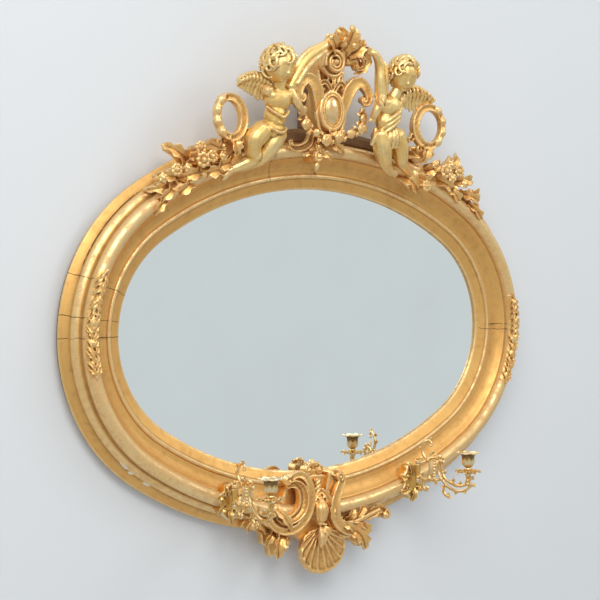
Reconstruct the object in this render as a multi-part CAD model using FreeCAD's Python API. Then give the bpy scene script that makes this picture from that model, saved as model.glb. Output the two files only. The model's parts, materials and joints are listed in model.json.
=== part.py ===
"""Oval giltwood girandole mirror with two swinging candle arms.

Millimetres, +Z up, the glass faces -Y and the wall is the plane y = 0.
The origin is the centre of the oval, on the back plane.  Most places are
written as at(x, depth, z), where depth is the distance in front of the wall.
"""
import FreeCAD, Part
import math
import os

# ---- driving dimensions: the oval and its moulding ----
SIGHT_HALF_WIDTH = 452.0      # half width of the visible glass
SIGHT_HALF_HEIGHT = 288.0     # half height of the visible glass
SIGHT_END_RADIUS = 218.0      # radius of the tight arc at each end
MOULDING_WIDTH = 123.0        # sight edge to outer edge
REBATE_WIDTH = 13.0           # ledge behind the sight edge
REBATE_DEPTH = 18.5           # depth of the glass face in front of the wall
LIP_HEIGHT = 5.0              # thickness of wood in front of the glass
SCOOP_WIDTH = 22.0            # plain sloped member next to the glass
SCOOP_RISE = 9.0
BEAD_WIDTH = 8.4              # small half round inside the cove
BEAD_RISE = 4.6
COVE_END = 62.0               # where the hollow meets the torus
COVE_RISE = 16.5
TORUS_RADIUS = 13.5           # the most forward round member
TORUS_CENTRE = 77.5
TORUS_DEPTH = 55.0
OGEE_START_DEPTH = 43.5
OGEE_WIDTH = 14.0
OGEE_DROP = 12.5
OUTER_EDGE_DEPTH = 16.0       # front corner of the outer edge
BACK_INSET = 6.0              # the back of the frame stands in from the edge

# ---- glass, boards and fixings ----
GLASS_THICKNESS = 4.5
GLASS_OVERLAP = 9.0           # glass hidden behind the sight edge
BOARD_THICKNESS = 11.0
BOARD_CLEARANCE = 0.3
BOARD_SPLIT = 105.0           # half height of the middle board
BOARD_LAP = 12.0              # overlap of one board's edge on the next
PAD_LENGTH = 36.0
PAD_WIDTH = 11.0
PAD_COUNT = 12
SPLINE_LENGTH = 60.0          # loose tongue across each mitre
SPLINE_WIDTH = 34.0
SPLINE_THICKNESS = 8.0
SPLINE_DEPTH = 20.0
SPLINE_OFFSET = 62.0          # centre of the tongue, outwards from the sight edge
BRAD_RADIUS = 0.9
BRAD_LENGTH = 20.0
HANGER_WIDTH = 28.0
HANGER_HEIGHT = 62.0
HANGER_THICKNESS = 2.5
HANGER_X = 230.0
HANGER_OFFSET = 60.0
HANGER_HOLE_RADIUS = 4.5
HANGER_SLOT_WIDTH = 4.2
HANGER_POCKET_DEPTH = 12.0
SCREW_RADIUS = 1.9
SCREW_HEAD_RADIUS = 3.8
SCREW_LENGTH = 20.0

SEAT_GAP = 0.3                # carved pieces stand this far off the moulding
FIT_GAP = 0.2                 # loose tongues in their slots
SCREW_GAP = 0.25

# ---- crest ----
RAIL_HALF_ANGLE = 16.5        # degrees of the top arc covered by the crest rail
RAIL_INNER = 97.5
RAIL_OUTER = 121.0
RAIL_FRONT = 47.0
TONGUE_WIDTH = 40.0
TONGUE_THICKNESS = 14.0
TONGUE_FOOT = 310.0
TONGUE_TOP = 522.0
CREST_SCREWS = [(x, z, length) for z, length in ((319.0, 28.0), (382.0, 29.0), (438.0, 60.0))
                for x in (-12.0, 12.0)]     # x, z and length
SHIELD_X = 3.0                # centre line of the carved shield
SHIELD_BACK = 47.3
SHIELD_FRONT = 82.0
CABOCHON_Z = 443.0
CABOCHON_HALF_WIDTH = 21.0
CABOCHON_HALF_HEIGHT = 31.0
CABOCHON_RIM = 9.0
CABOCHON_RIM_FRONT = 91.0
CABOCHON_RISE = 17.0
VOLUTE_X = -1.0
VOLUTE_Z = 539.0
VOLUTE_RADIUS = 29.0
VOLUTE_BACK_FRONT = 98.0
VOLUTE_RIDGE_FRONT = 106.0
VOLUTE_EYE_RADIUS = 6.5

# ---- candle arms ----
SCONCE_X = 232.0
SCONCE_Z = -327.0
PLATE_FRONT = 75.0
PIN_DEPTH = 87.0
PIN_RADIUS = 2.5
PIN_CLEARANCE = 0.05
BARREL_RADIUS = 6.0
BARREL_HEIGHT = 30.0
EYE_HEIGHT = 8.0
EYE_GAP = 0.3
ARM_THICKNESS = 5.0
ARM_REACH = 128.0
ARM_HEIGHT = {"left": -313.0, "right": -302.0}
ARM_SPLAY = {"left": 2.0, "right": 13.0}    # degrees outwards at rest
PAN_HEIGHT = 8.0              # underside of the drip pan above the arm's middle
PAN_LEAF_REACH = 28.0
PAN_THICKNESS = 2.0
PEG_RADIUS = 3.0
PEG_HEIGHT = 7.5
CUP_KNOP = 8.0                # height of the turned knop under the cup
CUP_BORE_RADIUS = 10.8        # takes a 22 mm candle trimmed to fit
CUP_BORE_DEPTH = 18.0
CUP_WALL = 1.7
CUP_FLOOR = 4.0
CUP_RIM_RADIUS = 23.5
CUP_FLARE = 6.0

V = FreeCAD.Vector
SIDES = {"left": -1.0, "right": 1.0}
# the long arc's radius follows from the two half axes and the end radius
LONG_RADIUS = (SIGHT_HALF_WIDTH ** 2 + SIGHT_HALF_HEIGHT ** 2
               - 2 * SIGHT_HALF_WIDTH * SIGHT_END_RADIUS) / (
                   2 * (SIGHT_HALF_HEIGHT - SIGHT_END_RADIUS))
END_CENTRE = SIGHT_HALF_WIDTH - SIGHT_END_RADIUS
LONG_CENTRE = LONG_RADIUS - SIGHT_HALF_HEIGHT
JOIN_ANGLE = math.degrees(math.atan2(LONG_CENTRE, END_CENTRE))

pieces = {}


def at(x, depth, z):
    """Point x to the right, depth in front of the wall, z up."""
    return V(x, -depth, z)


# ---------------------------------------------------------------- helpers

def spline_loop(points):
    """Closed smooth wire through (x, z) points at depth 0."""
    curve = Part.BSplineCurve()
    curve.interpolate(Points=[at(x, 0, z) for x, z in points], PeriodicFlag=True)
    return Part.Wire(curve.toShape())


def slab(wire, back, front):
    """Solid between two depths from a wire drawn at depth 0."""
    face = Part.Face(wire)
    face.translate(at(0, back, 0))
    return face.extrude(at(0, front - back, 0))


def mirrored_loop(half, centre_x):
    """Closed outline from (half width, z) pairs given from bottom to top."""
    right = [(centre_x + w, z) for w, z in half]
    left = [(centre_x - w, z) for w, z in reversed(half) if w > 0.01]
    return right + left


def leaf(x, z, angle, length, width, back, front):
    """Pointed leaf of two arcs, its stalk at (x, z), growing along angle."""
    a = math.radians(angle)
    along = V(math.cos(a), 0, math.sin(a))
    across = V(-math.sin(a), 0, math.cos(a))
    stalk = at(x, 0, z)
    tip = stalk + along * length
    middle = stalk + along * (length * 0.45)
    one = Part.Arc(stalk, middle + across * (width / 2), tip).toShape()
    two = Part.Arc(tip, middle - across * (width / 2), stalk).toShape()
    return slab(Part.Wire([one, two]), back, front)


def disc(x, z, radius, back, front):
    """Round boss with its axis square to the wall."""
    return Part.makeCylinder(radius, front - back, at(x, back, z), V(0, -1, 0))


def bar(start, end, half_width, back, front):
    """Straight stem between two (x, depth, z, ...) places, square to the wall."""
    x0, z0, x1, z1 = start[0], start[2], end[0], end[2]
    length = math.hypot(x1 - x0, z1 - z0)
    side_x, side_z = -(z1 - z0) / length * half_width, (x1 - x0) / length * half_width
    corners = [at(x0 + side_x, 0, z0 + side_z), at(x1 + side_x, 0, z1 + side_z),
               at(x1 - side_x, 0, z1 - side_z), at(x0 - side_x, 0, z0 - side_z)]
    return slab(Part.makePolygon(corners + corners[:1]), back, front)


def rosette(x, z, radius, back, front):
    """Round flower head: a short drum with a bevelled face."""
    bevel = radius * 0.4
    drum = disc(x, z, radius, back, front - bevel)
    return drum.fuse(Part.makeCone(radius, radius - bevel, bevel, at(x, front - bevel, z),
                                   V(0, -1, 0)))


def ball(x, depth, z, radius):
    return Part.makeSphere(radius, at(x, depth, z))


def ellipsoid(x, depth, z, half_x, half_depth, half_z):
    sphere = Part.makeSphere(1.0)
    matrix = FreeCAD.Matrix()
    matrix.scale(V(half_x, half_depth, half_z))
    solid = sphere.transformGeometry(matrix)
    solid.translate(at(x, depth, z))
    return solid


def fuse(shapes):
    shapes = list(shapes)
    return shapes[0] if len(shapes) == 1 else shapes[0].multiFuse(shapes[1:])


def cone(x0, depth0, z0, r0, x1, depth1, z1, r1):
    """Round bar or taper between two points."""
    start = at(x0, depth0, z0)
    along = at(x1, depth1, z1) - start
    if abs(r0 - r1) < 1e-6:
        return Part.makeCylinder(r0, along.Length, start, along)
    return Part.makeCone(r0, r1, along.Length, start, along)


def between(start, end, share):
    """Place a share of the way from one (x, depth, z, ...) station to the next."""
    return [a + (b - a) * share for a, b in zip(start[:3], end[:3])]


def limb(stations):
    """Tapered round limb through (x, depth, z, radius) stations."""
    parts = [cone(*start, *end) for start, end in zip(stations, stations[1:])]
    return fuse(parts + [ball(*station) for station in stations])


def crescent(start, outer, end, inner):
    """C-scroll: two arcs that share their ends, as a wire of (x, z) points."""
    s, o, e, i = (at(p[0], 0, p[1]) for p in (start, outer, end, inner))
    return Part.Wire([Part.Arc(s, o, e).toShape(), Part.Arc(e, i, s).toShape()])


def block(x0, x1, back, front, z0, z1):
    corner = at(min(x0, x1), front, z0)
    return Part.makeBox(abs(x1 - x0), front - back, z1 - z0, corner)


def clean(shape, smallest=2.0):
    """The shape's solids as one solid, or a compound of separate ones."""
    solids = [s for s in shape.Solids if s.Volume > smallest]
    solids.sort(key=lambda s: -s.Volume)
    return solids[0] if len(solids) == 1 else Part.makeCompound(solids)


def largest(shape):
    return max(shape.Solids, key=lambda s: s.Volume)


def carve(shape, tools):
    """The main solid left after cutting away the tools that reach the shape."""
    near = [t for t in tools if t.BoundBox.intersect(shape.BoundBox)]
    return largest(shape.cut(near)) if near else largest(shape)


def drilled(shape, tools):
    return clean(shape.cut(tools)) if tools else shape


# ------------------------------------------------------------ oval moulding

def moulding_profile():
    """Section wire in (outwards from the sight edge, depth) coordinates."""
    lip = REBATE_DEPTH + LIP_HEIGHT
    bead_depth = lip + SCOOP_RISE
    bead_end = SCOOP_WIDTH + BEAD_WIDTH
    cove_start = bead_end + 1.6
    cove_depth = bead_depth + 1.0
    cove_top = cove_depth + COVE_RISE
    torus_side = TORUS_CENTRE - TORUS_RADIUS * math.cos(math.radians(20))
    torus_side_depth = TORUS_DEPTH - TORUS_RADIUS * math.sin(math.radians(20))
    torus_out = TORUS_CENTRE + TORUS_RADIUS * math.cos(math.radians(22))
    torus_out_depth = TORUS_DEPTH - TORUS_RADIUS * math.sin(math.radians(22))
    ogee_start = torus_out + 1.5
    ogee_end = ogee_start + OGEE_WIDTH
    ogee_depth = OGEE_START_DEPTH - OGEE_DROP
    back_edge = MOULDING_WIDTH - BACK_INSET

    def p(w, depth):
        return V(w, -depth, 0)

    def line(a, b):
        return Part.LineSegment(p(*a), p(*b)).toShape()

    def arc(a, m, b):
        return Part.Arc(p(*a), p(*m), p(*b)).toShape()

    cove_mid = ((cove_start + COVE_END) / 2 + 2.5, (cove_depth + cove_top) / 2 - 3.5)
    path = [
        line((0, REBATE_DEPTH), (0, lip)),
        line((0, lip), (SCOOP_WIDTH, bead_depth)),
        arc((SCOOP_WIDTH, bead_depth), (SCOOP_WIDTH + BEAD_WIDTH / 2, bead_depth + BEAD_RISE),
            (bead_end, bead_depth)),
        line((bead_end, bead_depth), (cove_start, cove_depth)),
        arc((cove_start, cove_depth), cove_mid, (COVE_END, cove_top)),
        line((COVE_END, cove_top), (torus_side, torus_side_depth)),
        arc((torus_side, torus_side_depth), (TORUS_CENTRE, TORUS_DEPTH + TORUS_RADIUS),
            (torus_out, torus_out_depth)),
        line((torus_out, torus_out_depth), (ogee_start, OGEE_START_DEPTH)),
        arc((ogee_start, OGEE_START_DEPTH),
            ((ogee_start + ogee_end) / 2 + 1.8, (OGEE_START_DEPTH + ogee_depth) / 2 + 2.6),
            (ogee_end, ogee_depth)),
        line((ogee_end, ogee_depth), (ogee_end + 1.5, ogee_depth - 1.5)),
        line((ogee_end + 1.5, ogee_depth - 1.5), (MOULDING_WIDTH, OUTER_EDGE_DEPTH)),
        line((MOULDING_WIDTH, OUTER_EDGE_DEPTH), (back_edge, OUTER_EDGE_DEPTH - BACK_INSET)),
        line((back_edge, OUTER_EDGE_DEPTH - BACK_INSET), (back_edge, 0)),
        line((back_edge, 0), (REBATE_WIDTH, 0)),
        line((REBATE_WIDTH, 0), (REBATE_WIDTH, REBATE_DEPTH)),
        line((REBATE_WIDTH, REBATE_DEPTH), (0, REBATE_DEPTH)),
    ]
    return Part.Wire(path)


def swept(wire, centre_x, centre_z, radius, start_deg, sweep_deg):
    """Section wire turned about an arc centre, from start_deg by sweep_deg."""
    face = Part.Face(wire)
    face.translate(V(radius, 0, 0))
    face.rotate(V(0, 0, 0), V(0, -1, 0), start_deg)
    face.translate(V(centre_x, 0, centre_z))
    return face.revolve(V(centre_x, 0, centre_z), V(0, -1, 0), sweep_deg)


def end_arc(wire, side, start_deg, sweep_deg):
    return swept(wire, side * END_CENTRE, 0, SIGHT_END_RADIUS, start_deg, sweep_deg)


def long_arc(wire, top, start_deg, sweep_deg):
    return swept(wire, 0, -top * LONG_CENTRE, LONG_RADIUS, start_deg, sweep_deg)


def quadrant(wire, side, top):
    """One quarter of the oval: half an end arc and half a long arc."""
    turn = JOIN_ANGLE
    rest = 90.0 - turn
    if side > 0 and top > 0:
        return [end_arc(wire, 1, 0, turn), long_arc(wire, 1, turn, rest)]
    if side < 0 and top > 0:
        return [long_arc(wire, 1, 90, rest), end_arc(wire, -1, 180 - turn, turn)]
    if side < 0:
        return [end_arc(wire, -1, 180, turn), long_arc(wire, -1, 180 + turn, rest)]
    return [long_arc(wire, -1, 270, rest), end_arc(wire, 1, 360 - turn, turn)]


def oval_wire(offset):
    """The sight oval moved outwards by offset, as four arcs at depth 0."""
    end_radius = SIGHT_END_RADIUS + offset
    long_radius = LONG_RADIUS + offset
    arcs = []
    spans = [(END_CENTRE, 0, end_radius, -JOIN_ANGLE, JOIN_ANGLE),
             (0, -LONG_CENTRE, long_radius, JOIN_ANGLE, 180 - JOIN_ANGLE),
             (-END_CENTRE, 0, end_radius, 180 - JOIN_ANGLE, 180 + JOIN_ANGLE),
             (0, LONG_CENTRE, long_radius, 180 + JOIN_ANGLE, 360 - JOIN_ANGLE)]
    for cx, cz, radius, a0, a1 in spans:
        marks = [math.radians(a) for a in (a0, (a0 + a1) / 2, a1)]
        arcs.append(Part.Arc(*[at(cx + radius * math.cos(a), 0, cz + radius * math.sin(a))
                               for a in marks]).toShape())
    return Part.Wire(arcs)


def oval_point(turn_deg, offset):
    """Point (x, z) on the offset oval and the outward direction in degrees."""
    a = turn_deg % 360.0
    side = 1.0 if (a <= 90 or a >= 270) else -1.0
    top = 1.0 if a <= 180 else -1.0
    own = math.radians(a)
    fold = min(a, 360 - a) if side > 0 else abs(180 - a)
    if fold <= JOIN_ANGLE:
        cx, cz, radius = side * END_CENTRE, 0.0, SIGHT_END_RADIUS + offset
    else:
        cx, cz, radius = 0.0, -top * LONG_CENTRE, LONG_RADIUS + offset
    return cx + radius * math.cos(own), cz + radius * math.sin(own)


def turned_block(turn_deg, offset, length, width, back, front):
    """Block laid along the oval, centred at an angle and an offset."""
    x, z = oval_point(turn_deg, offset)
    body = block(-width / 2, width / 2, back, front, -length / 2, length / 2)
    body.rotate(V(0, 0, 0), V(0, -1, 0), turn_deg)
    body.translate(V(x, 0, z))
    return body


def long_arc_z(x, offset, top=1.0):
    """Height of the long arc's offset line at x."""
    radius = LONG_RADIUS + offset
    return top * (math.sqrt(radius ** 2 - x ** 2) - LONG_CENTRE)


profile = moulding_profile()
stand_off = profile.makeOffset2D(SEAT_GAP, 2)     # 2 keeps the corners sharp
CORNERS = {"upper_right": (1, 1), "upper_left": (-1, 1),
           "lower_left": (-1, -1), "lower_right": (1, -1)}
cutter_upper = [long_arc(stand_off, 1, JOIN_ANGLE, 180 - 2 * JOIN_ANGLE)]
cutter_lower = [long_arc(stand_off, -1, 180 + JOIN_ANGLE, 180 - 2 * JOIN_ANGLE)]
cutter_end = {"left": [end_arc(stand_off, -1, 180 - JOIN_ANGLE, 2 * JOIN_ANGLE)],
              "right": [end_arc(stand_off, 1, -JOIN_ANGLE, 2 * JOIN_ANGLE)]}


# --------------------------------------------------------- frame and fixings

def countersunk(x, z, back, length, inwards=1.0):
    """Screw driven forwards from the back: flat head at depth back."""
    axis = V(0, -inwards, 0)
    start = at(x, back, z)
    head = Part.makeCone(SCREW_HEAD_RADIUS, SCREW_RADIUS, SCREW_HEAD_RADIUS - SCREW_RADIUS,
                         start, axis)
    return head.fuse(Part.makeCylinder(SCREW_RADIUS, length, start, axis))


def countersink(x, z, back, length, inwards=1.0):
    """Hole for a countersunk screw, a little larger all round."""
    axis = V(0, -inwards, 0)
    start = at(x, back - 0.01 * inwards, z)
    head = SCREW_HEAD_RADIUS + SCREW_GAP
    shank = SCREW_RADIUS + SCREW_GAP
    cone = Part.makeCone(head, shank, head - shank, start, axis)
    return cone.fuse(Part.makeCylinder(shank, length + 0.5, start, axis))


def build_frame():
    """Four wooden quarters, loose tongues, hangers, glass and backboards."""
    tongues = []
    slots = []
    for turn in (0, 90, 180, 270):
        for grow, store in ((0.0, tongues), (FIT_GAP, slots)):
            store.append(turned_block(turn, SPLINE_OFFSET, SPLINE_LENGTH + 2 * grow,
                                      SPLINE_WIDTH + 2 * grow, SPLINE_DEPTH - grow,
                                      SPLINE_DEPTH + SPLINE_THICKNESS + grow))
    housing = block(-TONGUE_WIDTH / 2 - FIT_GAP, TONGUE_WIDTH / 2 + FIT_GAP, -1,
                    TONGUE_THICKNESS + 1 + FIT_GAP, TONGUE_FOOT - FIT_GAP,
                    SIGHT_HALF_HEIGHT + MOULDING_WIDTH + 5)

    hangers, hanger_screws, hanger_cuts = [], [], []
    for side in SIDES.values():
        x = side * HANGER_X
        z = long_arc_z(HANGER_X, HANGER_OFFSET)
        half_w, half_h = HANGER_WIDTH / 2, HANGER_HEIGHT / 2
        plate = block(x - half_w, x + half_w, 0, HANGER_THICKNESS, z - half_h, z + half_h)
        upright = [edge for edge in plate.Edges
                   if abs(edge.Vertexes[0].Point.y - edge.Vertexes[1].Point.y) > 1]
        plate = plate.makeFillet(6.0, upright)
        hole = disc(x, z, HANGER_HOLE_RADIUS, -1, HANGER_THICKNESS + 1)
        slot = block(x - HANGER_SLOT_WIDTH / 2, x + HANGER_SLOT_WIDTH / 2, -1,
                     HANGER_THICKNESS + 1, z, z + HANGER_HOLE_RADIUS + 8)
        seats = [countersink(x, z + s * (half_h - 8), 0, SCREW_LENGTH) for s in (-1, 1)]
        hangers.append(plate.cut([hole, slot] + seats))
        hanger_screws += [countersunk(x, z + s * (half_h - 8), 0.1, SCREW_LENGTH)
                          for s in (-1, 1)]
        pocket = block(x - half_w - 0.1, x + half_w + 0.1, -1, HANGER_THICKNESS,
                       z - half_h - 0.1, z + half_h + 0.1)
        head_room = block(x - 8, x + 8, 0, HANGER_POCKET_DEPTH, z - 9, z + 20)
        hanger_cuts += [pocket, head_room] + seats

    brads, brad_holes = [], []
    for index in range(PAD_COUNT):
        turn = 15.0 + index * 360.0 / PAD_COUNT
        x0, z0 = oval_point(turn, REBATE_WIDTH - 7.0)
        x1, z1 = oval_point(turn, REBATE_WIDTH + 11.0)
        start, end = at(x0, 0.3, z0), at(x1, 9.0, z1)
        along = end - start
        brads.append(Part.makeCylinder(BRAD_RADIUS, BRAD_LENGTH, start, along))
        brad_holes.append(Part.makeCylinder(BRAD_RADIUS + 0.05, BRAD_LENGTH + 2,
                                            start - along.normalize() * 1.5, along))

    for name, signs in CORNERS.items():
        first, second = quadrant(profile, *signs)
        body = first.fuse(second).removeSplitter()
        cuts = slots + hanger_cuts + brad_holes + sconce_screw_holes + crest_screw_holes
        if signs[1] > 0:
            cuts = cuts + [housing]
        near = [c for c in cuts if c.BoundBox.intersect(body.BoundBox)]
        pieces["frame_" + name] = largest(body.cut(near))
    pieces["frame_tongues"] = Part.makeCompound(tongues)
    pieces["hanger_plates"] = Part.makeCompound(hangers)
    pieces["hanger_screws"] = Part.makeCompound(hanger_screws)

    glass_back = REBATE_DEPTH - GLASS_THICKNESS
    pieces["mirror_plate"] = slab(oval_wire(GLASS_OVERLAP), glass_back, REBATE_DEPTH)
    pads = [turned_block(index * 360.0 / PAD_COUNT, 0.0, PAD_LENGTH, PAD_WIDTH,
                         BOARD_THICKNESS, glass_back) for index in range(PAD_COUNT)]
    pieces["glass_pads"] = Part.makeCompound(pads)

    sheet = slab(oval_wire(REBATE_WIDTH - BOARD_CLEARANCE), 0, BOARD_THICKNESS)
    far = SIGHT_HALF_WIDTH + MOULDING_WIDTH
    half = BOARD_THICKNESS / 2
    lap = BOARD_LAP / 2
    upper = block(-far, far, 0, half, BOARD_SPLIT - lap, far).fuse(
        block(-far, far, half, BOARD_THICKNESS, BOARD_SPLIT + lap, far))
    lower = block(-far, far, 0, half, -far, -BOARD_SPLIT - lap).fuse(
        block(-far, far, half, BOARD_THICKNESS, -far, -BOARD_SPLIT + lap))
    pieces["backboard_upper"] = drilled(sheet.common(upper), brad_holes)
    pieces["backboard_middle"] = drilled(sheet.cut([upper, lower]), brad_holes)
    pieces["backboard_lower"] = drilled(sheet.common(lower), brad_holes)
    pieces["backboard_brads"] = Part.makeCompound(brads)


# -------------------------------------------------------------------- crest

def crest_rail():
    """Plain wooden batten along the top of the frame behind the carving."""
    corners = [(RAIL_INNER, 25), (RAIL_INNER, RAIL_FRONT), (RAIL_OUTER - 8, RAIL_FRONT),
               (RAIL_OUTER, RAIL_FRONT - 8), (RAIL_OUTER, 12)]
    points = [V(w, -depth, 0) for w, depth in corners]
    wire = Part.makePolygon(points + points[:1])
    bar = long_arc(wire, 1, 90 - RAIL_HALF_ANGLE, 2 * RAIL_HALF_ANGLE)
    return carve(bar, cutter_upper)


def crest_bracket():
    """Wooden tongue let into the back of the frame, carrying the shield."""
    top_of_frame = SIGHT_HALF_HEIGHT + MOULDING_WIDTH + 1
    corners = [(TONGUE_FOOT, 1), (TONGUE_TOP - 70, 1), (TONGUE_TOP, 28),
               (TONGUE_TOP, SHIELD_BACK), (top_of_frame, SHIELD_BACK),
               (top_of_frame, 1 + TONGUE_THICKNESS), (TONGUE_FOOT, 1 + TONGUE_THICKNESS)]
    points = [at(-TONGUE_WIDTH / 2, depth, z) for z, depth in corners]
    face = Part.Face(Part.makePolygon(points + points[:1]))
    return face.extrude(V(TONGUE_WIDTH, 0, 0))


def spiral_ridge(x, z, outer, width, turns, back, front):
    """Raised scroll of half circles that shrink by a fixed step."""
    step = width * 0.92

    def chain(first, shrink):
        arcs = []
        radius = first
        centre = x
        sign = 1.0
        for _ in range(turns):
            arcs.append(Part.Arc(at(centre + sign * radius, 0, z), at(centre, 0, z + sign * radius),
                                 at(centre - sign * radius, 0, z)).toShape())
            centre = centre - sign * shrink / 2 * 1.0
            radius -= shrink / 2
            sign = -sign
        return arcs, centre, radius, sign

    outer_arcs, c_out, r_out, sign = chain(outer, step * 2)
    inner_arcs, c_in, r_in, _ = chain(outer - width, step * 2 - 0.9)
    first_cap = Part.LineSegment(at(x + outer - width, 0, z), at(x + outer, 0, z)).toShape()
    last_out = outer_arcs[-1].Vertexes[-1].Point
    last_in = inner_arcs[-1].Vertexes[-1].Point
    last_cap = Part.LineSegment(last_out, last_in).toShape()
    wire = Part.Wire(Part.__sortEdges__([first_cap] + outer_arcs + [last_cap] + inner_arcs))
    return slab(wire, back, front)


def build_shield():
    """Carved shield with its oval rim, boss, volute, side scrolls and crown."""
    half = [(23, 392), (35, 418), (38, 450), (31, 482), (29, 512), (35, 545), (27, 568)]
    body = slab(spline_loop(mirrored_loop(half, SHIELD_X)), SHIELD_BACK, SHIELD_FRONT)

    def oval(half_w, half_h, back, front):
        ring = Part.Ellipse(at(0, 0, 0), half_h, half_w).toShape()
        ring.rotate(V(0, 0, 0), V(1, 0, 0), 90)
        ring.rotate(V(0, 0, 0), V(0, 1, 0), 90)
        ring.translate(at(SHIELD_X - 1, 0, CABOCHON_Z))
        return slab(Part.Wire(ring), back, front)

    rim = oval(CABOCHON_HALF_WIDTH + CABOCHON_RIM, CABOCHON_HALF_HEIGHT + CABOCHON_RIM,
               SHIELD_FRONT - 6, CABOCHON_RIM_FRONT)
    recess = oval(CABOCHON_HALF_WIDTH, CABOCHON_HALF_HEIGHT, SHIELD_FRONT, SHIELD_FRONT + 20)
    body = body.fuse(rim).cut(recess)
    for sign in (-1, 1):
        strap = crescent((SHIELD_X, 486), (SHIELD_X + sign * 14, 505), (SHIELD_X + sign * 27, 486),
                         (SHIELD_X + sign * 14, 498))
        body = body.fuse(slab(strap, SHIELD_FRONT - 4, SHIELD_FRONT + 6))
    boss = ellipsoid(SHIELD_X - 1, SHIELD_FRONT, CABOCHON_Z, CABOCHON_HALF_WIDTH - SEAT_GAP,
                     CABOCHON_RISE, CABOCHON_HALF_HEIGHT - SEAT_GAP)
    behind = block(-60, 60, 0, SHIELD_FRONT, CABOCHON_Z - 60, CABOCHON_Z + 60)
    pieces["crest_cabochon"] = carve(boss, [behind])

    back = disc(VOLUTE_X, VOLUTE_Z, VOLUTE_RADIUS - 0.6, SHIELD_FRONT, VOLUTE_BACK_FRONT)
    ridge = spiral_ridge(VOLUTE_X, VOLUTE_Z, VOLUTE_RADIUS, 6.2, 4, VOLUTE_BACK_FRONT - 2,
                         VOLUTE_RIDGE_FRONT)
    eye = disc(VOLUTE_X, VOLUTE_Z, VOLUTE_EYE_RADIUS, VOLUTE_BACK_FRONT - 2,
               VOLUTE_RIDGE_FRONT + 2)
    pieces["crest_volute"] = largest(fuse([back, ridge, eye]))
    pieces["crest_shield"] = carve(body, [pieces["crest_rail"], pieces["crest_bracket"]]
                                   + crest_screw_holes)

    horn = [(30, 432), (26, 456), (28, 478), (40, 504), (53, 515), (68, 511), (82, 494),
            (90, 474), (84, 464), (76, 470), (68, 486), (58, 490), (50, 478), (46, 452),
            (42, 432)]
    for name, side in SIDES.items():
        outline = [(SHIELD_X + side * w, z) for w, z in horn]
        scroll = slab(spline_loop(outline), 62, 92)
        curl = disc(SHIELD_X + side * 80, 474, 9.5, 66, 98)
        pieces["shield_scroll_" + name] = carve(scroll.fuse(curl), [pieces["crest_shield"]])

    crown_top = [(-32, 578), (-26, 592), (-12, 586), (-4, 600), (8, 602), (14, 612), (28, 614),
                 (40, 610), (46, 598), (56, 598), (64, 588), (71, 576), (58, 562), (40, 556),
                 (20, 562), (-2, 562), (-20, 566)]
    crown = slab(spline_loop(crown_top), 66, 104)
    lobes = [limb([(22, 96, 566, 8), (24, 112, 590, 12), (27, 118, 603, 9)]),
             limb([(8, 96, 568, 6), (-6, 112, 584, 9), (-18, 112, 584, 7)]),
             limb([(38, 96, 568, 6), (52, 110, 582, 9), (60, 108, 576, 6)])]
    side_leaf = slab(spline_loop([(46, 566), (62, 572), (80, 566), (87, 550), (82, 532),
                                  (66, 520), (50, 522), (44, 544)]), 60, 96)
    crown = fuse([crown, side_leaf] + lobes)
    pieces["crest_crown"] = carve(crown, [pieces["crest_shield"], pieces["crest_volute"],
                                          pieces["shield_scroll_left"],
                                          pieces["shield_scroll_right"]])


def build_garland_and_foot():
    """Rose garland under the shield and the scrolled foot on the frame."""
    flowers = [(-76, 98, 436, 12), (-67, 100, 410, 12), (-42, 100, 395, 9), (-17, 102, 384, 14),
               (14, 102, 389, 14), (45, 100, 398, 11), (74, 98, 410, 12), (76, 100, 430, 11)]
    stems = [bar(start, end, 4.0, SHIELD_FRONT, SHIELD_FRONT + 8)
             for start, end in zip(flowers, flowers[1:])]
    pieces["rose_garland"] = fuse(stems + [rosette(x, z, r, SHIELD_FRONT, front)
                                           for x, front, z, r in flowers])

    scroll = slab(crescent((-38, 404), (-44, 360), (-88, 368), (-56, 374)), 48, 80)
    tongue = slab(spline_loop([(-44, 379), (-14, 379), (-13, 360), (-18, 345), (-28, 338),
                               (-38, 345), (-42, 360)]), 44, 76)
    side_leaf = leaf(-20, 352, 20, 66, 26, 44, 72)
    volute = disc(-28, 351, 12, 60, 90).fuse(disc(-28, 351, 5, 80, 94))
    drop = limb([(-28, 74, 346, 5), (-29, 76, 331, 6.5), (-29, 76, 322, 3)])
    curl = disc(-86, 368, 7, 52, 84)
    foot = fuse([scroll, tongue, side_leaf, volute, drop, curl])
    pieces["crest_foot"] = carve(foot, cutter_upper + [pieces["crest_rail"],
                                                       pieces["crest_shield"],
                                                       pieces["rose_garland"]])


# -------------------------------------------------------------------- putti

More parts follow.
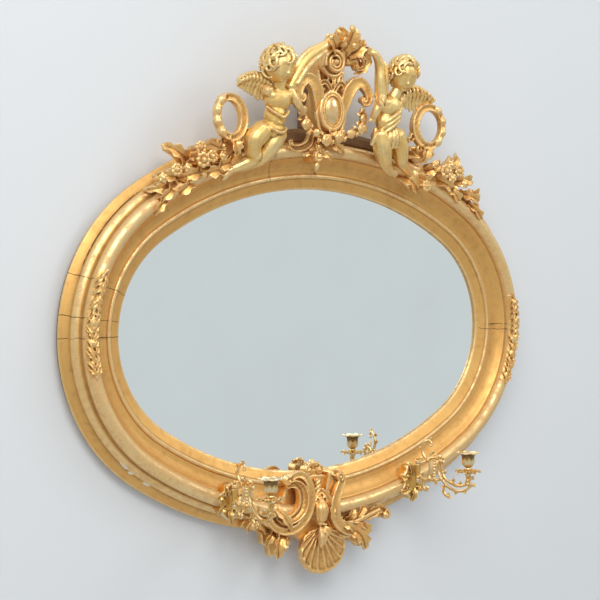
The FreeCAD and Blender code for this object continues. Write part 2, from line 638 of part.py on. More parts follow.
PUTTO = {
    "left": {
        "head": (-152, 122, 524, 37, 43),
        "neck": [(-143, 112, 452, 14), (-148, 116, 492, 11)],
        "trunk": [(-142, 108, 458, 31), (-148, 103, 420, 24), (-152, 99, 398, 28)],
        "limbs": [
            [(-172, 98, 392, 22), (-188, 91, 350, 14), (-224, 72, 322, 9), (-242, 66, 306, 7)],
            [(-140, 97, 388, 22), (-166, 88, 344, 13), (-196, 72, 328, 9)],
            [(-118, 110, 470, 12), (-100, 112, 446, 9), (-88, 108, 440, 8)],
        ],
        "arm": [(-114, 108, 480, 13), (-78, 112, 540, 10), (-42, 116, 566, 8),
                (-28, 117, 578, 8.5)],
        "wing": [(-160, 494), (-176, 503), (-196, 505), (-214, 498), (-227, 486), (-218, 474),
                 (-204, 472), (-198, 460), (-184, 462), (-176, 452), (-164, 460), (-158, 476)],
    },
    "right": {
        "head": (161, 122, 526, 36, 40),
        "neck": [(138, 112, 452, 14), (152, 116, 492, 11)],
        "trunk": [(138, 110, 458, 31), (131, 104, 424, 25), (138, 99, 402, 28)],
        "limbs": [
            [(120, 98, 396, 22), (138, 90, 346, 16), (176, 74, 328, 11)],
            [(158, 98, 396, 22), (178, 91, 352, 15), (214, 74, 333, 10), (236, 66, 318, 8)],
            [(112, 112, 474, 12), (94, 116, 446, 10), (88, 108, 428, 8)],
        ],
        "arm": [(112, 108, 480, 13), (108, 112, 540, 10), (92, 115, 561, 8),
                (80, 112, 568, 8)],
        "wing": [(172, 492), (190, 502), (212, 506), (236, 502), (258, 490), (273, 476),
                 (262, 468), (246, 468), (238, 458), (222, 458), (206, 452), (186, 458),
                 (176, 474)],
    },
}


def build_putti():
    """Two kneeling winged children, each carved from a few glued pieces."""
    held = [pieces[n] for n in ("crest_shield", "crest_volute", "crest_crown", "rose_garland",
                                "shield_scroll_left", "shield_scroll_right", "crest_foot")]
    for name, side in SIDES.items():
        figure = PUTTO[name]
        x, depth, z, half_w, half_h = figure["head"]
        neck_cut = figure["neck"][1][2]
        body = fuse([limb(figure["trunk"]), limb(figure["neck"])]
                    + [limb(chain) for chain in figure["limbs"]])
        above = block(x - 60, x + 60, 40, 200, neck_cut, neck_cut + 80)
        body = carve(body, [above] + cutter_upper + [pieces["crest_rail"]] + held)
        head = ellipsoid(x, depth, z, half_w, half_w, half_h)
        below = block(x - 60, x + 60, 40, 200, neck_cut - 60, neck_cut)
        nape = limb([(figure["neck"][1][0], figure["neck"][1][1], neck_cut + 2, 11),
                     (x, depth, z - 8, 14)])
        head = carve(head.fuse(nape), [below, body] + held)
        arm = carve(limb(figure["arm"]), [body, head] + held)
        wing = slab(spline_loop(figure["wing"]), 80, 92)
        rib = limb([(figure["wing"][0][0], 90, figure["wing"][0][1] - 8, 8),
                    (figure["wing"][2][0], 88, figure["wing"][2][1] - 6, 5)])
        wing = carve(wing.fuse(rib), [body, head, arm] + held)
        pieces["putto_body_" + name] = body
        pieces["putto_head_" + name] = head
        pieces["putto_arm_" + name] = arm
        pieces["putto_wing_" + name] = wing


# ------------------------------------------------- rings, sprays and reliefs

RING = {"left": (-243, 418, 37, 46, -8), "right": (256, 424, 44, 48, 8)}


def build_rings():
    """Open C-scroll rings beside the putti, beaded on the outer side."""
    for name, side in SIDES.items():
        x, z, half_w, half_h, lean = RING[name]
        loops = []
        for inset in (0.0, 15.0):
            ring = Part.Ellipse(at(0, 0, 0), half_h - inset, half_w - inset).toShape()
            ring.rotate(V(0, 0, 0), V(1, 0, 0), 90)
            ring.rotate(V(0, 0, 0), V(0, 1, 0), 90 - lean)
            ring.translate(at(x, 0, z))
            loops.append(Part.Wire(ring))
        ring = slab(loops[0], 80, 97).cut(slab(loops[1], 70, 110))
        beads = []
        for turn in (50, 15, -20, -55):
            a = math.radians(turn)
            beads.append(ball(x + side * (half_w - 7) * math.cos(a), 88.5,
                              z + (half_h - 7) * math.sin(a), 9.5))
        root_x = x - side * 8
        root = slab(spline_loop([(root_x - 24, z - half_h + 12), (root_x + 24, z - half_h + 12),
                                 (root_x + 20, z - half_h - 24), (root_x, z - half_h - 34),
                                 (root_x - 20, z - half_h - 24)]), 18, 94)
        root = root.cut(slab(loops[1], 0, 120))
        link = limb([(x - side * (half_w - 10), 88, z - 22, 7),
                     (x - side * (half_w + 12), 92, z - 30, 7)])
        near = [pieces["putto_body_" + name], pieces["putto_wing_" + name],
                pieces["crest_rail"]]
        pieces["scroll_ring_" + name] = carve(fuse([ring, root, link] + beads),
                                              cutter_upper + near)


SPRAY_LEAVES = {
    "left": [(-212, 338, 196, 60, 26), (-240, 322, 196, 56, 26), (-262, 330, 168, 60, 26),
             (-290, 318, 200, 60, 26), (-318, 330, 150, 66, 28), (-312, 300, 222, 54, 24),
             (-340, 300, 176, 56, 24), (-356, 286, 222, 52, 22), (-372, 268, 236, 50, 20),
             (-360, 284, 190, 56, 20)],
    "right": [(208, 326, -42, 62, 34), (236, 316, -8, 58, 26), (262, 328, 24, 60, 26),
              (296, 318, -30, 58, 26), (318, 330, 42, 66, 26), (330, 304, -48, 58, 24),
              (348, 312, 6, 62, 24), (372, 290, -26, 58, 22), (392, 272, -48, 66, 20),
              (384, 286, 6, 46, 20)],
}
SPRAY_FLOWERS = {
    "left": [(-306, 334, 96, 15), (-310, 358, 92, 12), (-282, 342, 90, 12), (-360, 314, 88, 12),
             (-386, 298, 82, 10), (-332, 318, 84, 10), (-254, 344, 86, 10)],
    "right": [(304, 332, 96, 15), (326, 346, 88, 11), (350, 334, 86, 13), (282, 346, 86, 10),
              (326, 318, 90, 11), (372, 308, 80, 10), (256, 300, 88, 12)],
}


def build_sprays():
    """Leafy flower sprays laid along the frame on each side of the crest."""
    for name, side in SIDES.items():
        leaves = [leaf(x, z, angle, length, width, 22, 66 + 2 * (index % 4))
                  for index, (x, z, angle, length, width) in enumerate(SPRAY_LEAVES[name])]
        stem = slab(crescent((side * 208, 342), (side * 316, 318), (side * 394, 258),
                             (side * 310, 300)), 34, 70)
        near = [pieces["putto_body_" + name], pieces["scroll_ring_" + name],
                pieces["crest_rail"]] + cutter_upper + cutter_end[name]
        pieces["spray_leaves_" + name] = carve(fuse(leaves + [stem]), near)
        heads = []
        for x, z, front, radius in SPRAY_FLOWERS[name]:
            petals = [disc(x + radius * 0.62 * math.cos(a), z + radius * 0.62 * math.sin(a),
                           radius * 0.52, 22, front - 5)
                      for a in (math.radians(72 * k + 18) for k in range(5))]
            flower = fuse(petals + [disc(x, z, radius * 0.45, 22, front)])
            heads.append(flower)
        bunch = fuse(heads).cut(near + [pieces["spray_leaves_" + name]])
        pieces["spray_flowers_" + name] = clean(bunch, 60.0)


def build_reliefs():
    """Low carved panels on the torus at the two ends of the oval."""
    half_angle = 20.5
    for name, side in SIDES.items():
        inner = TORUS_RADIUS + SEAT_GAP
        outer = TORUS_RADIUS + 4.5
        a0, a1 = math.radians(-12), math.radians(192)
        am = (a0 + a1) / 2

        def p(radius, angle):
            return V(TORUS_CENTRE + radius * math.cos(angle),
                     -(TORUS_DEPTH + radius * math.sin(angle)), 0)

        wire = Part.Wire([Part.Arc(p(outer, a0), p(outer, am), p(outer, a1)).toShape(),
                          Part.LineSegment(p(outer, a1), p(inner, a1)).toShape(),
                          Part.Arc(p(inner, a1), p(inner, am), p(inner, a0)).toShape(),
                          Part.LineSegment(p(inner, a0), p(outer, a0)).toShape()])
        start = -half_angle if side > 0 else 180 - half_angle
        band = end_arc(wire, side, start, 2 * half_angle)
        lumps = []
        for turn, radius in ((0, 12), (9, 7.5), (-9, 7.5), (16, 6.5), (-16, 6.5)):
            centre = turn if side > 0 else 180 - turn
            x, z = oval_point(centre, TORUS_CENTRE)
            lumps.append(ball(x, TORUS_DEPTH + TORUS_RADIUS - radius * 0.1, z, radius))
        pieces["side_relief_" + name] = carve(fuse([band] + lumps), cutter_end[name])


# ------------------------------------------------------------------ console

def build_console():
    """Carved bottom bracket: scrolls, stem, shell and acanthus leaves."""
    core = slab(spline_loop([(-58, -300), (-16, -292), (34, -300), (48, -330), (46, -380),
                             (40, -430), (0, -446), (-44, -430), (-84, -398), (-98, -350),
                             (-84, -312)]), 24, 52)
    pieces["console_core"] = carve(core, cutter_lower)
    base = [pieces["console_core"]]

    cap = fuse([disc(-25, -285, 11, 26, 50), disc(1, -285, 11, 26, 50),
                disc(-25, -285, 4.5, 45, 54), disc(1, -285, 4.5, 45, 54),
                block(-25, 1, 30, 48, -300, -286), ball(-13, 38, -271, 7),
                limb([(-13, 38, -271, 5), (-13, 38, -286, 5)])])
    pieces["console_cap"] = carve(cap, cutter_lower + base)

    outer = [(-92, -290), (-64, -286), (-42, -300), (-31, -340), (-42, -380), (-76, -404),
             (-116, -400), (-140, -370), (-132, -354), (-114, -366), (-90, -374), (-68, -362),
             (-58, -336), (-66, -312), (-92, -306), (-100, -298)]
    scroll = slab(spline_loop(outer), 40, 80)
    curl = disc(-92, -298, 9, 44, 78)
    knob = limb([(-62, 50, -344, 9), (-78, 62, -350, 8)])
    pieces["console_scroll_left"] = carve(fuse([scroll, curl, knob]),
                                          cutter_lower + base + [pieces["console_cap"]])

    limb_outline = [(18, -286), (40, -290), (50, -304), (44, -322), (32, -346), (34, -374),
                    (48, -396), (78, -408), (84, -424), (66, -432), (38, -424), (14, -396),
                    (6, -364), (6, -330), (12, -304)]
    pieces["console_scroll_right"] = carve(slab(spline_loop(limb_outline), 36, 76),
                                           cutter_lower + base + [pieces["console_cap"]])

    stem = limb([(-13, 58, -304, 7), (-13, 62, -328, 8), (-13, 70, -352, 12), (-15, 72, -384, 10)])
    sides = [leaf(-14, -330, -60, 42, 16, 52, 74), leaf(-14, -330, 240, 42, 16, 52, 74)]
    pieces["console_stem"] = carve(fuse([stem] + sides), cutter_lower + base + [
        pieces[n] for n in ("console_cap", "console_scroll_left", "console_scroll_right")])

    build_shell()

    left = [(-96, -396), (-112, -392), (-126, -398), (-150, -380), (-164, -366), (-182, -372),
            (-186, -388), (-170, -394), (-156, -396), (-138, -406), (-136, -424), (-122, -430),
            (-118, -452), (-106, -456), (-98, -438), (-84, -430), (-80, -412), (-84, -400)]
    right = [(58, -402), (70, -380), (78, -364), (92, -372), (104, -362), (120, -362), (126, -374),
             (146, -370), (166, -376), (178, -392), (170, -404), (156, -400), (152, -390),
             (138, -392), (128, -404), (132, -418), (122, -428), (124, -448), (112, -460),
             (98, -450), (86, -444), (76, -428)]
    base = base + [pieces[n] for n in ("console_scroll_left", "console_scroll_right",
                                       "console_shell")]
    pieces["acanthus_left"] = carve(slab(spline_loop(left), 22, 62), cutter_lower + base)
    pieces["acanthus_right"] = carve(fuse([slab(spline_loop(right), 22, 62),
                                           disc(166, -391, 10, 50, 70)]), cutter_lower + base)


def build_shell():
    """Scallop shell under the console, its ribs fanning from the hinge."""
    hinge_x, hinge_z = -6.0, -396.0
    centre_x, centre_z, radius = 0.0, -446.0, 52.0
    count = 11
    rim = []
    for k in range(count):
        a = math.radians(-90 + (k - (count - 1) / 2) * 24.5)
        rim.append((centre_x + radius * math.cos(a), centre_z + radius * math.sin(a)))
    plate = disc(centre_x, centre_z, radius - 5, 52, 64)
    ribs = []
    for x, z in rim:
        tip_x = centre_x + (x - centre_x) * 0.92
        tip_z = centre_z + (z - centre_z) * 0.92
        ribs.append(cone(hinge_x, 63, hinge_z, 3.0, tip_x, 65, tip_z, 7.2))
        ribs.append(disc(x, z, 6.5, 53, 68))
    others = [pieces[n] for n in ("console_core", "console_scroll_left", "console_scroll_right",
                                  "console_stem")]
    pieces["console_shell"] = carve(fuse([plate] + ribs), cutter_lower + others)
    seed = fuse([ellipsoid(-15, 76, -420, 8.5, 9, 19), cone(-15, 76, -398, 3, -15, 76, -408, 6)])
    pieces["shell_seed"] = carve(seed, [pieces["console_shell"], pieces["console_stem"]])


# -------------------------------------------------------------- candle arms

def plate_outline(side, x, z):
    """Asymmetrical rocaille backplate, 52 mm wide and 76 mm high."""
    half = [(-6, 38), (8, 33), (14, 22), (24, 18), (27, 4), (20, -6), (22, -20), (12, -30),
            (-2, -38), (-12, -30), (-24, -26), (-28, -12), (-22, 0), (-26, 14), (-18, 24),
            (-14, 34)]
    return [(x + side * u, z + v) for u, v in half]


def sconce_screw_places(name):
    side = SIDES[name]
    return [(side * (SCONCE_X - 17), SCONCE_Z + 14), (side * (SCONCE_X + 14), SCONCE_Z - 16)]


def round_head_screw(x, z, front, length):
    head = Part.makeSphere(SCREW_HEAD_RADIUS, at(x, front, z)).cut(
        block(x - 9, x + 9, front - 9, front, z - 9, z + 9))
    shank = disc(x, z, SCREW_RADIUS, front - length, front + 0.5)
    return largest(head.fuse(shank))


sconce_screw_holes = [disc(x, z, SCREW_RADIUS + SCREW_GAP, PLATE_FRONT - SCREW_LENGTH - 12.5,
                           PLATE_FRONT + 1)
                      for name in SIDES for x, z in sconce_screw_places(name)]
crest_screw_holes = [countersink(x, z, 1, length + 1) for x, z, length in CREST_SCREWS]


def placed(shape, name):
    """Turn a piece drawn along +X from the pin to its place on the frame."""
    side = SIDES[name]
    heading = math.degrees(math.atan2(-math.cos(math.radians(ARM_SPLAY[name])),
                                      side * math.sin(math.radians(ARM_SPLAY[name]))))
    shape = shape.copy()
    shape.rotate(V(0, 0, 0), V(0, 0, 1), heading)
    shape.translate(at(side * SCONCE_X, PIN_DEPTH, ARM_HEIGHT[name]))
    return shape


def flat(wire, thickness=ARM_THICKNESS):
    """Flat casting of a wire drawn in (reach, height), centred on the arm's plane."""
    return slab(wire, -thickness / 2, thickness / 2)


def arm_casting():
    """Openwork gate of C-scrolls and a double scrolled arm that ends in a peg."""
    scrolls = [
        crescent((27, 27), (33, 7), (30, -14), (27.5, 7)),
        crescent((61, 27), (51, 8), (61, -13), (57, 8)),
        crescent((26, 26), (43, 32), (62, 26), (43, 26.5)),
        crescent((29, -12), (44, -19), (62, -12), (44, -13)),
        crescent((43, 28), (46, 7), (43, -15), (41, 7)),
        crescent((30, 22), (10, 46), (24, 66), (15, 46)),
        crescent((21, 62), (29, 69), (37, 60), (29, 64)),
        crescent((60, 28), (59, 3), (88, -19), (66, 4)),
        crescent((78, -13), (110, -27), (136, -4), (110, -20)),
        crescent((60, -8), (92, -37), (134, -18), (94, -28)),
        crescent((4, 10), (15, 19), (29, 23), (16, 12)),
        crescent((4, -7), (15, -17), (31, -13), (16, -9)),
        crescent((13, -13), (11.5, -27), (23, -39), (17, -25)),
        crescent((70, -22), (65, -36), (75, -47), (80, -32)),
    ]
    knots = [(28, 25, 4.2), (60, 26, 4.5), (30, -13, 4), (61, -12, 4.5), (43, 7, 3.4),
             (43, 20, 2.8), (43, -6, 2.8), (10, 28, 4), (13, 19, 4), (34, 36, 3.5),
             (33, 30, 3), (57, 34, 4.5), (66, 25, 4), (22, -38, 3.5), (73, -24, 4),
             (93, -11, 3.5), (92, -18, 3), (115, -14, 3.2), (128, -16, 5.5)]
    parts = [flat(wire) for wire in scrolls]
    half = ARM_THICKNESS / 2 + 0.6
    parts += [disc(s, t, r, -half, half) for s, t, r in knots]
    barrel = Part.makeCylinder(BARREL_RADIUS, BARREL_HEIGHT, V(0, 0, -BARREL_HEIGHT / 2))
    boss = Part.makeCone(4.5, 6.5, PAN_HEIGHT + 20, V(ARM_REACH, 0, -20))
    peg = Part.makeCylinder(PEG_RADIUS, PEG_HEIGHT, V(ARM_REACH, 0, PAN_HEIGHT))
    bore = Part.makeCylinder(PIN_RADIUS + PIN_CLEARANCE, BARREL_HEIGHT + 2,
                             V(0, 0, -BARREL_HEIGHT / 2 - 1))
    return largest(fuse(parts + [barrel, boss, peg]).cut(bore))


def drip_pan():
    """Thin collar of six pointed leaves under the candle cup."""
    leaves = []
    for k in range(6):
        petal = leaf(3, 0, 0, PAN_LEAF_REACH - 3, 17, 0, PAN_THICKNESS)
        petal.rotate(V(0, 0, 0), V(1, 0, 0), -90)
        petal.rotate(V(0, 0, 0), V(0, 0, 1), 60 * k)
        leaves.append(petal)
    plate = fuse([Part.makeCylinder(11, PAN_THICKNESS)] + leaves)
    plate = plate.cut(Part.makeCylinder(PEG_RADIUS + 0.1, PAN_THICKNESS + 2, V(0, 0, -1)))
    plate.translate(V(ARM_REACH, 0, PAN_HEIGHT))
    return plate


def candle_cup():
    """Tulip socket on a knop, with a straight bore and a turned-out rim."""
    floor = CUP_KNOP + CUP_FLOOR
    mouth = floor + CUP_BORE_DEPTH
    top = mouth + CUP_FLARE
    body = CUP_BORE_RADIUS + CUP_WALL

    def p(r, z):
        return V(r, 0, z)

    def line(a, b):
        return Part.LineSegment(p(*a), p(*b)).toShape()

    def arc(a, m, b):
        return Part.Arc(p(*a), p(*m), p(*b)).toShape()

    edges = [
        line((0, 0), (5.5, 0)),
        arc((5.5, 0), (8.0, CUP_KNOP / 2), (5.5, CUP_KNOP)),
        arc((5.5, CUP_KNOP), (10.5, CUP_KNOP + 1.5), (body, floor + 1)),
        line((body, floor + 1), (body, mouth - 3)),
        arc((body, mouth - 3), (body + 4.0, mouth + 3.0), (CUP_RIM_RADIUS, top - 0.8)),
        line((CUP_RIM_RADIUS, top - 0.8), (CUP_RIM_RADIUS - 0.8, top)),
        arc((CUP_RIM_RADIUS - 0.8, top), (body + 2.2, mouth + 3.6), (CUP_BORE_RADIUS, mouth)),
        line((CUP_BORE_RADIUS, mouth), (CUP_BORE_RADIUS, floor)),
        line((CUP_BORE_RADIUS, floor), (0, floor)),
        line((0, floor), (0, 0)),
    ]
    cup = Part.Face(Part.Wire(edges)).revolve(V(0, 0, 0), V(0, 0, 1), 360)
    cup = cup.cut(Part.makeCylinder(PEG_RADIUS + 0.1, PEG_HEIGHT - PAN_THICKNESS + 0.3,
                                    V(0, 0, -0.01)))
    cup.translate(V(ARM_REACH, 0, PAN_HEIGHT + PAN_THICKNESS))
    return cup


def build_sconces():
    """Backplates with pin eyes, pins, arms, drip pans, cups and screws."""
    casting, pan, cup = arm_casting(), drip_pan(), candle_cup()
    screws = []
    for name, side in SIDES.items():
        x, arm_z = side * SCONCE_X, ARM_HEIGHT[name]
        plate = slab(spline_loop(plate_outline(side, x, SCONCE_Z)), 46, PLATE_FRONT)
        eyes = []
        for sign in (-1, 1):
            low = arm_z + sign * (BARREL_HEIGHT / 2 + EYE_GAP + EYE_HEIGHT / 2) - EYE_HEIGHT / 2
            eyes.append(Part.makeCylinder(BARREL_RADIUS, EYE_HEIGHT, at(x, PIN_DEPTH, low)))
            eyes.append(block(x - 4, x + 4, PLATE_FRONT - 6, PIN_DEPTH, low, low + EYE_HEIGHT))
        pin_low = arm_z - BARREL_HEIGHT / 2 - EYE_GAP - EYE_HEIGHT
        pin_length = BARREL_HEIGHT + 2 * (EYE_GAP + EYE_HEIGHT)
        bore = Part.makeCylinder(PIN_RADIUS + PIN_CLEARANCE, pin_length + 2,
                                 at(x, PIN_DEPTH, pin_low - 1))
        holes = [disc(sx, sz, SCREW_RADIUS + SCREW_GAP, 20, PLATE_FRONT + 2)
                 for sx, sz in sconce_screw_places(name)]
        pieces["sconce_plate_" + name] = carve(fuse([plate] + eyes), [bore] + holes
                                               + cutter_lower + [pieces["console_core"]])
        pin = Part.makeCylinder(PIN_RADIUS, pin_length, at(x, PIN_DEPTH, pin_low))
        knob = Part.makeSphere(PIN_RADIUS + 1.5, at(x, PIN_DEPTH, pin_low + pin_length + 3.4))
        pieces["sconce_pin_" + name] = pin.fuse(knob)
        pieces["sconce_arm_" + name] = placed(casting, name)
        pieces["drip_pan_" + name] = placed(pan, name)
        pieces["candle_cup_" + name] = placed(cup, name)
        screws += [round_head_screw(sx, sz, PLATE_FRONT, SCREW_LENGTH + 10)
                   for sx, sz in sconce_screw_places(name)]
    pieces["sconce_screws"] = Part.makeCompound(screws)


def main():
    pieces["crest_rail"] = crest_rail()
    pieces["crest_bracket"] = crest_bracket()
    build_frame()
    build_shield()
    build_garland_and_foot()
    build_putti()
    build_rings()
    build_sprays()
    build_reliefs()
    build_console()
    build_sconces()
    pieces["crest_bracket"] = drilled(pieces["crest_bracket"], crest_screw_holes)
    pieces["crest_screws"] = Part.makeCompound(
        [countersunk(x, z, 1.1, length) for x, z, length in CREST_SCREWS])

    os.makedirs("parts", exist_ok=True)
    for name, shape in pieces.items():
        shape.exportStep("parts/" + name + ".step")
        solids = shape.Solids
        print(name, len(solids), "solids", round(sum(s.Volume for s in solids) / 1000.0, 1), "cm3",
              "valid" if shape.isValid() else "INVALID")


main()
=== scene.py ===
"""Looks of an oval giltwood girandole mirror: carving, gilding, glass and candle arms."""

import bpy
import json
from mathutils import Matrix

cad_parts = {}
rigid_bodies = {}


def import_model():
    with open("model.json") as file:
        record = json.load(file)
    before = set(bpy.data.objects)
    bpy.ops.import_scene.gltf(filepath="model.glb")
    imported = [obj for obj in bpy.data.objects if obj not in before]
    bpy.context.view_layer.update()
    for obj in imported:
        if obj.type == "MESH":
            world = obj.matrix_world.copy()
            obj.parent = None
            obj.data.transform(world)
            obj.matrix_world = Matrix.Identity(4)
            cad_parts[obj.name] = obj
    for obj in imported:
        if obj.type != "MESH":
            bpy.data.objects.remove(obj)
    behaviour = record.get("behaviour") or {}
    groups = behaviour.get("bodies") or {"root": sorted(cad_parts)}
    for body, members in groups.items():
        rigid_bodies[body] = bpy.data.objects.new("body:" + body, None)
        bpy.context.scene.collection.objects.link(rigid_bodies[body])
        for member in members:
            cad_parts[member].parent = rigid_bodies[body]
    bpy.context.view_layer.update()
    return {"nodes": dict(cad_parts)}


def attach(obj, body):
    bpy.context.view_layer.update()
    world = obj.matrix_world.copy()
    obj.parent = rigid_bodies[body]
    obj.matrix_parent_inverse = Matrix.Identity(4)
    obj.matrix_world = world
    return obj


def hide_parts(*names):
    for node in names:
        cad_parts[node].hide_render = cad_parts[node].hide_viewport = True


bl_info = {
    "name": "Girandole mirror",
    "version": (1, 0, 0),
    "blender": (4, 5, 0),
    "location": "View3D > Sidebar > Mirror",
    "description": "Dresses the packed mirror with carved, gilded and cast pieces",
    "category": "Add Mesh",
}

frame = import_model()

import json
import math
import bpy
import mathutils
import numpy as np

MM = 0.001
SIDES = {"left": -1.0, "right": 1.0}
SPAN_STEPS = 24                        # samples between two points of a smooth path
FINE_DIP, BROAD_DIP = 0.22, 1.1        # depths (mm) at which a hollow counts in full


# ------------------------------------------------------------ plain geometry
# Points are (x, depth, z) in millimetres, depth in front of the wall.

def rows(*points):
    """Points as an array, one row each."""
    return np.array(points, float)


def unit(v):
    """Vectors scaled to length 1 along the last axis."""
    return v / np.maximum(np.linalg.norm(v, axis=-1, keepdims=True), 1e-9)


def through(points, count, closed=False):
    """Smooth path: a Catmull-Rom curve through the points, count samples evenly by length."""
    p = np.asarray(points, float)
    if closed:
        p = np.vstack([p[-1:], p, p[:2]])
    else:
        p = np.vstack([2 * p[:1] - p[1:2], p, 2 * p[-1:] - p[-2:-1]])
    t = np.linspace(0, 1, SPAN_STEPS, endpoint=False)[:, None, None]
    a, b, c, d = p[:-3], p[1:-2], p[2:-1], p[3:]
    runs = 0.5 * (2 * b + (c - a) * t + (2 * a - 5 * b + 4 * c - d) * t ** 2
                  + (3 * b - a - 3 * c + d) * t ** 3)
    fine = np.vstack([runs.transpose(1, 0, 2).reshape(-1, p.shape[1]), p[-2:-1]])
    along = np.concatenate([[0], np.cumsum(np.linalg.norm(np.diff(fine[:, :3], axis=0), axis=1))])
    want = np.linspace(0, along[-1], count + 1)[:-1] if closed else np.linspace(0, along[-1], count)
    return np.stack([np.interp(want, along, fine[:, k]) for k in range(p.shape[1])], 1)


def frames(path, up):
    """Along, across and outward directions at each point of a path.

    Across is square to the path and to up; outward is square to both.
    """
    along = unit(np.gradient(path, axis=0))
    across = unit(np.cross(along, np.asarray(up, float)))
    return along, across, unit(np.cross(across, along))


def angles(count):
    """Angles of count points spread evenly round a circle."""
    return np.linspace(0, 2 * np.pi, count, endpoint=False)


def grid(points, closed=False):
    """Faces of a grid of points (rows u, columns v), whose columns always run round.

    Each cell is one quad; when closed the last row joins the first, otherwise the first
    and the last row are each filled by a fan to their middle.
    """
    nu, nv = points.shape[:2]
    flat = points.reshape(-1, 3)
    u0, v0 = np.meshgrid(np.arange(nu if closed else nu - 1), np.arange(nv), indexing="ij")
    u1, v1 = (u0 + 1) % nu, (v0 + 1) % nv
    quads = np.stack([u0 * nv + v0, u0 * nv + v1, u1 * nv + v1, u1 * nv + v0], -1).reshape(-1, 4)
    if not closed:
        tips = np.stack([points[0].mean(0), points[-1].mean(0)])
        first, last = len(flat), len(flat) + 1
        flat = np.vstack([flat, tips])
        v = np.arange(nv)
        w = (v + 1) % nv
        base = (nu - 1) * nv
        fans = np.concatenate([np.stack([w, v, np.full(nv, first), np.full(nv, first)], -1),
                               np.stack([base + v, base + w, np.full(nv, last),
                                         np.full(nv, last)], -1)])
        quads = np.vstack([quads, fans])
    return flat, quads


def join(parts):
    """Several (points, faces) as one."""
    points, faces, start = [], [], 0
    for p, f in parts:
        points.append(p)
        faces.append(f + start)
        start += len(p)
    return np.vstack(points), np.vstack(faces)


def tube(stations, flat=1.0, up=(0, 1, 0), sides=14, count=None):
    """Round or oval limb through (x, depth, z, radius) stations.

    Point = path(u) + radius(u) * (cos v * across + flat * sin v * outward), v once round;
    three more rings at k * tip * radius beyond each end, where the radius falls as
    sqrt(1 - k^2), round the ends.
    """
    tip = 0.7
    line = through(stations, count or max(10, 6 * len(stations)))
    path, radius = line[:, :3], line[:, 3]
    k = np.array([0.15, 0.5, 0.85])
    grow = np.sqrt(1 - k[::-1] ** 2)
    head = path[0] + unit(path[0] - path[1]) * (k[::-1, None] * radius[0] * tip)
    tail = path[-1] + unit(path[-1] - path[-2]) * (k[:, None] * radius[-1] * tip)
    path = np.vstack([head, path, tail])
    radius = np.concatenate([radius[0] * grow, radius, radius[-1] * grow[::-1]])
    _, across, outward = frames(path, up)
    v = angles(sides)
    ring = (across[:, None] * np.cos(v)[None, :, None]
            + outward[:, None] * np.sin(v)[None, :, None] * flat)
    return grid(path[:, None] + ring * radius[:, None, None])


def egg(centre, radii, lean=0.0, rows_=16, sides=22):
    """Ellipsoid: centre + radii * (sin u cos v, sin u sin v, cos u), leaned about the depth
    axis by degrees.  The poles, within 0.06 radians, are filled flat."""
    u = np.linspace(0.06, np.pi - 0.06, rows_)[:, None]
    v = angles(sides)[None]
    p = np.stack([np.sin(u) * np.cos(v), np.sin(u) * np.sin(v), np.cos(u) + 0 * v], -1)
    return grid(posed(p * np.asarray(radii, float), lean) + np.asarray(centre, float))


def posed(points, lean, turn=0.0, nod=0.0):
    """Points turned about the origin, by degrees: nod about x, lean about depth, turn about z."""
    n, a, b = (math.radians(k) for k in (nod, lean, turn))
    tilt = rows((1, 0, 0), (0, math.cos(n), -math.sin(n)), (0, math.sin(n), math.cos(n)))
    roll = rows((math.cos(a), 0, math.sin(a)), (0, 1, 0), (-math.sin(a), 0, math.cos(a)))
    yaw = rows((math.cos(b), -math.sin(b), 0), (math.sin(b), math.cos(b), 0), (0, 0, 1))
    return points @ (yaw @ roll @ tilt).T


STRAP = rows((-1, 0), (-1, 0.75), (-0.9, 0.96), (-0.74, 1), (-0.58, 0.9), (-0.46, 0.6),
             (0, 0.5), (0.46, 0.6), (0.58, 0.9), (0.74, 1), (0.9, 0.96), (1, 0.75), (1, 0))
ROLL = rows((-1, 0), (-0.97, 0.5), (-0.75, 0.82), (-0.4, 0.98), (0, 1.0), (0.4, 0.98),
            (0.75, 0.82), (0.97, 0.5), (1, 0), (0.6, -0.25), (-0.6, -0.25))
BROAD = rows((-1, 0), (-1.02, 0.6), (-0.95, 0.9), (-0.82, 1.0), (-0.66, 0.94), (-0.4, 0.84),
             (0, 0.8), (0.4, 0.84), (0.66, 0.94), (0.82, 1.0), (0.95, 0.9), (1.02, 0.6), (1, 0))
HOLLOW = rows((-1, 0), (-1, 0.8), (-0.88, 1), (-0.7, 0.96), (-0.5, 0.62), (0, 0.34),
              (0.5, 0.62), (0.7, 0.96), (0.88, 1), (1, 0.8), (1, 0))


def sweep(stations, section, up=(0, 1, 0), count=None, closed=False):
    """A section carried along (x, depth, z, half width, height) stations.

    Point = path(u) + a * half_width(u) * across + h * height(u) * outward,
    for each (a, h) of the section, which is a closed outline.
    """
    s = np.asarray(stations, float)
    line = through(s, count or max(12, 7 * len(s)), closed)
    _, across, outward = frames(line[:, :3], up)
    ring = (across[:, None] * (section[:, 0] * line[:, 3:4])[..., None]
            + outward[:, None] * (section[:, 1] * line[:, 4:5])[..., None])
    return grid(line[:, None, :3] + ring, closed)


def spiral(centre, start, end, from_deg, turns, width, rise, steps=9):
    """Stations of a scroll in the frontal plane.

    Radius shrinks from start to end in equal ratios while the angle runs through the turns;
    half width and rise go from their first to their second value.
    """
    k = np.linspace(0, 1, int(steps * abs(turns) * 1.4) + 4)
    r = start * (end / start) ** k
    a = np.radians(from_deg) + 2 * np.pi * turns * k
    x, depth, z = centre
    return np.stack([x + r * np.cos(a), depth + 0 * k, z + r * np.sin(a),
                     width[0] + (width[1] - width[0]) * k, rise[0] + (rise[1] - rise[0]) * k], 1)


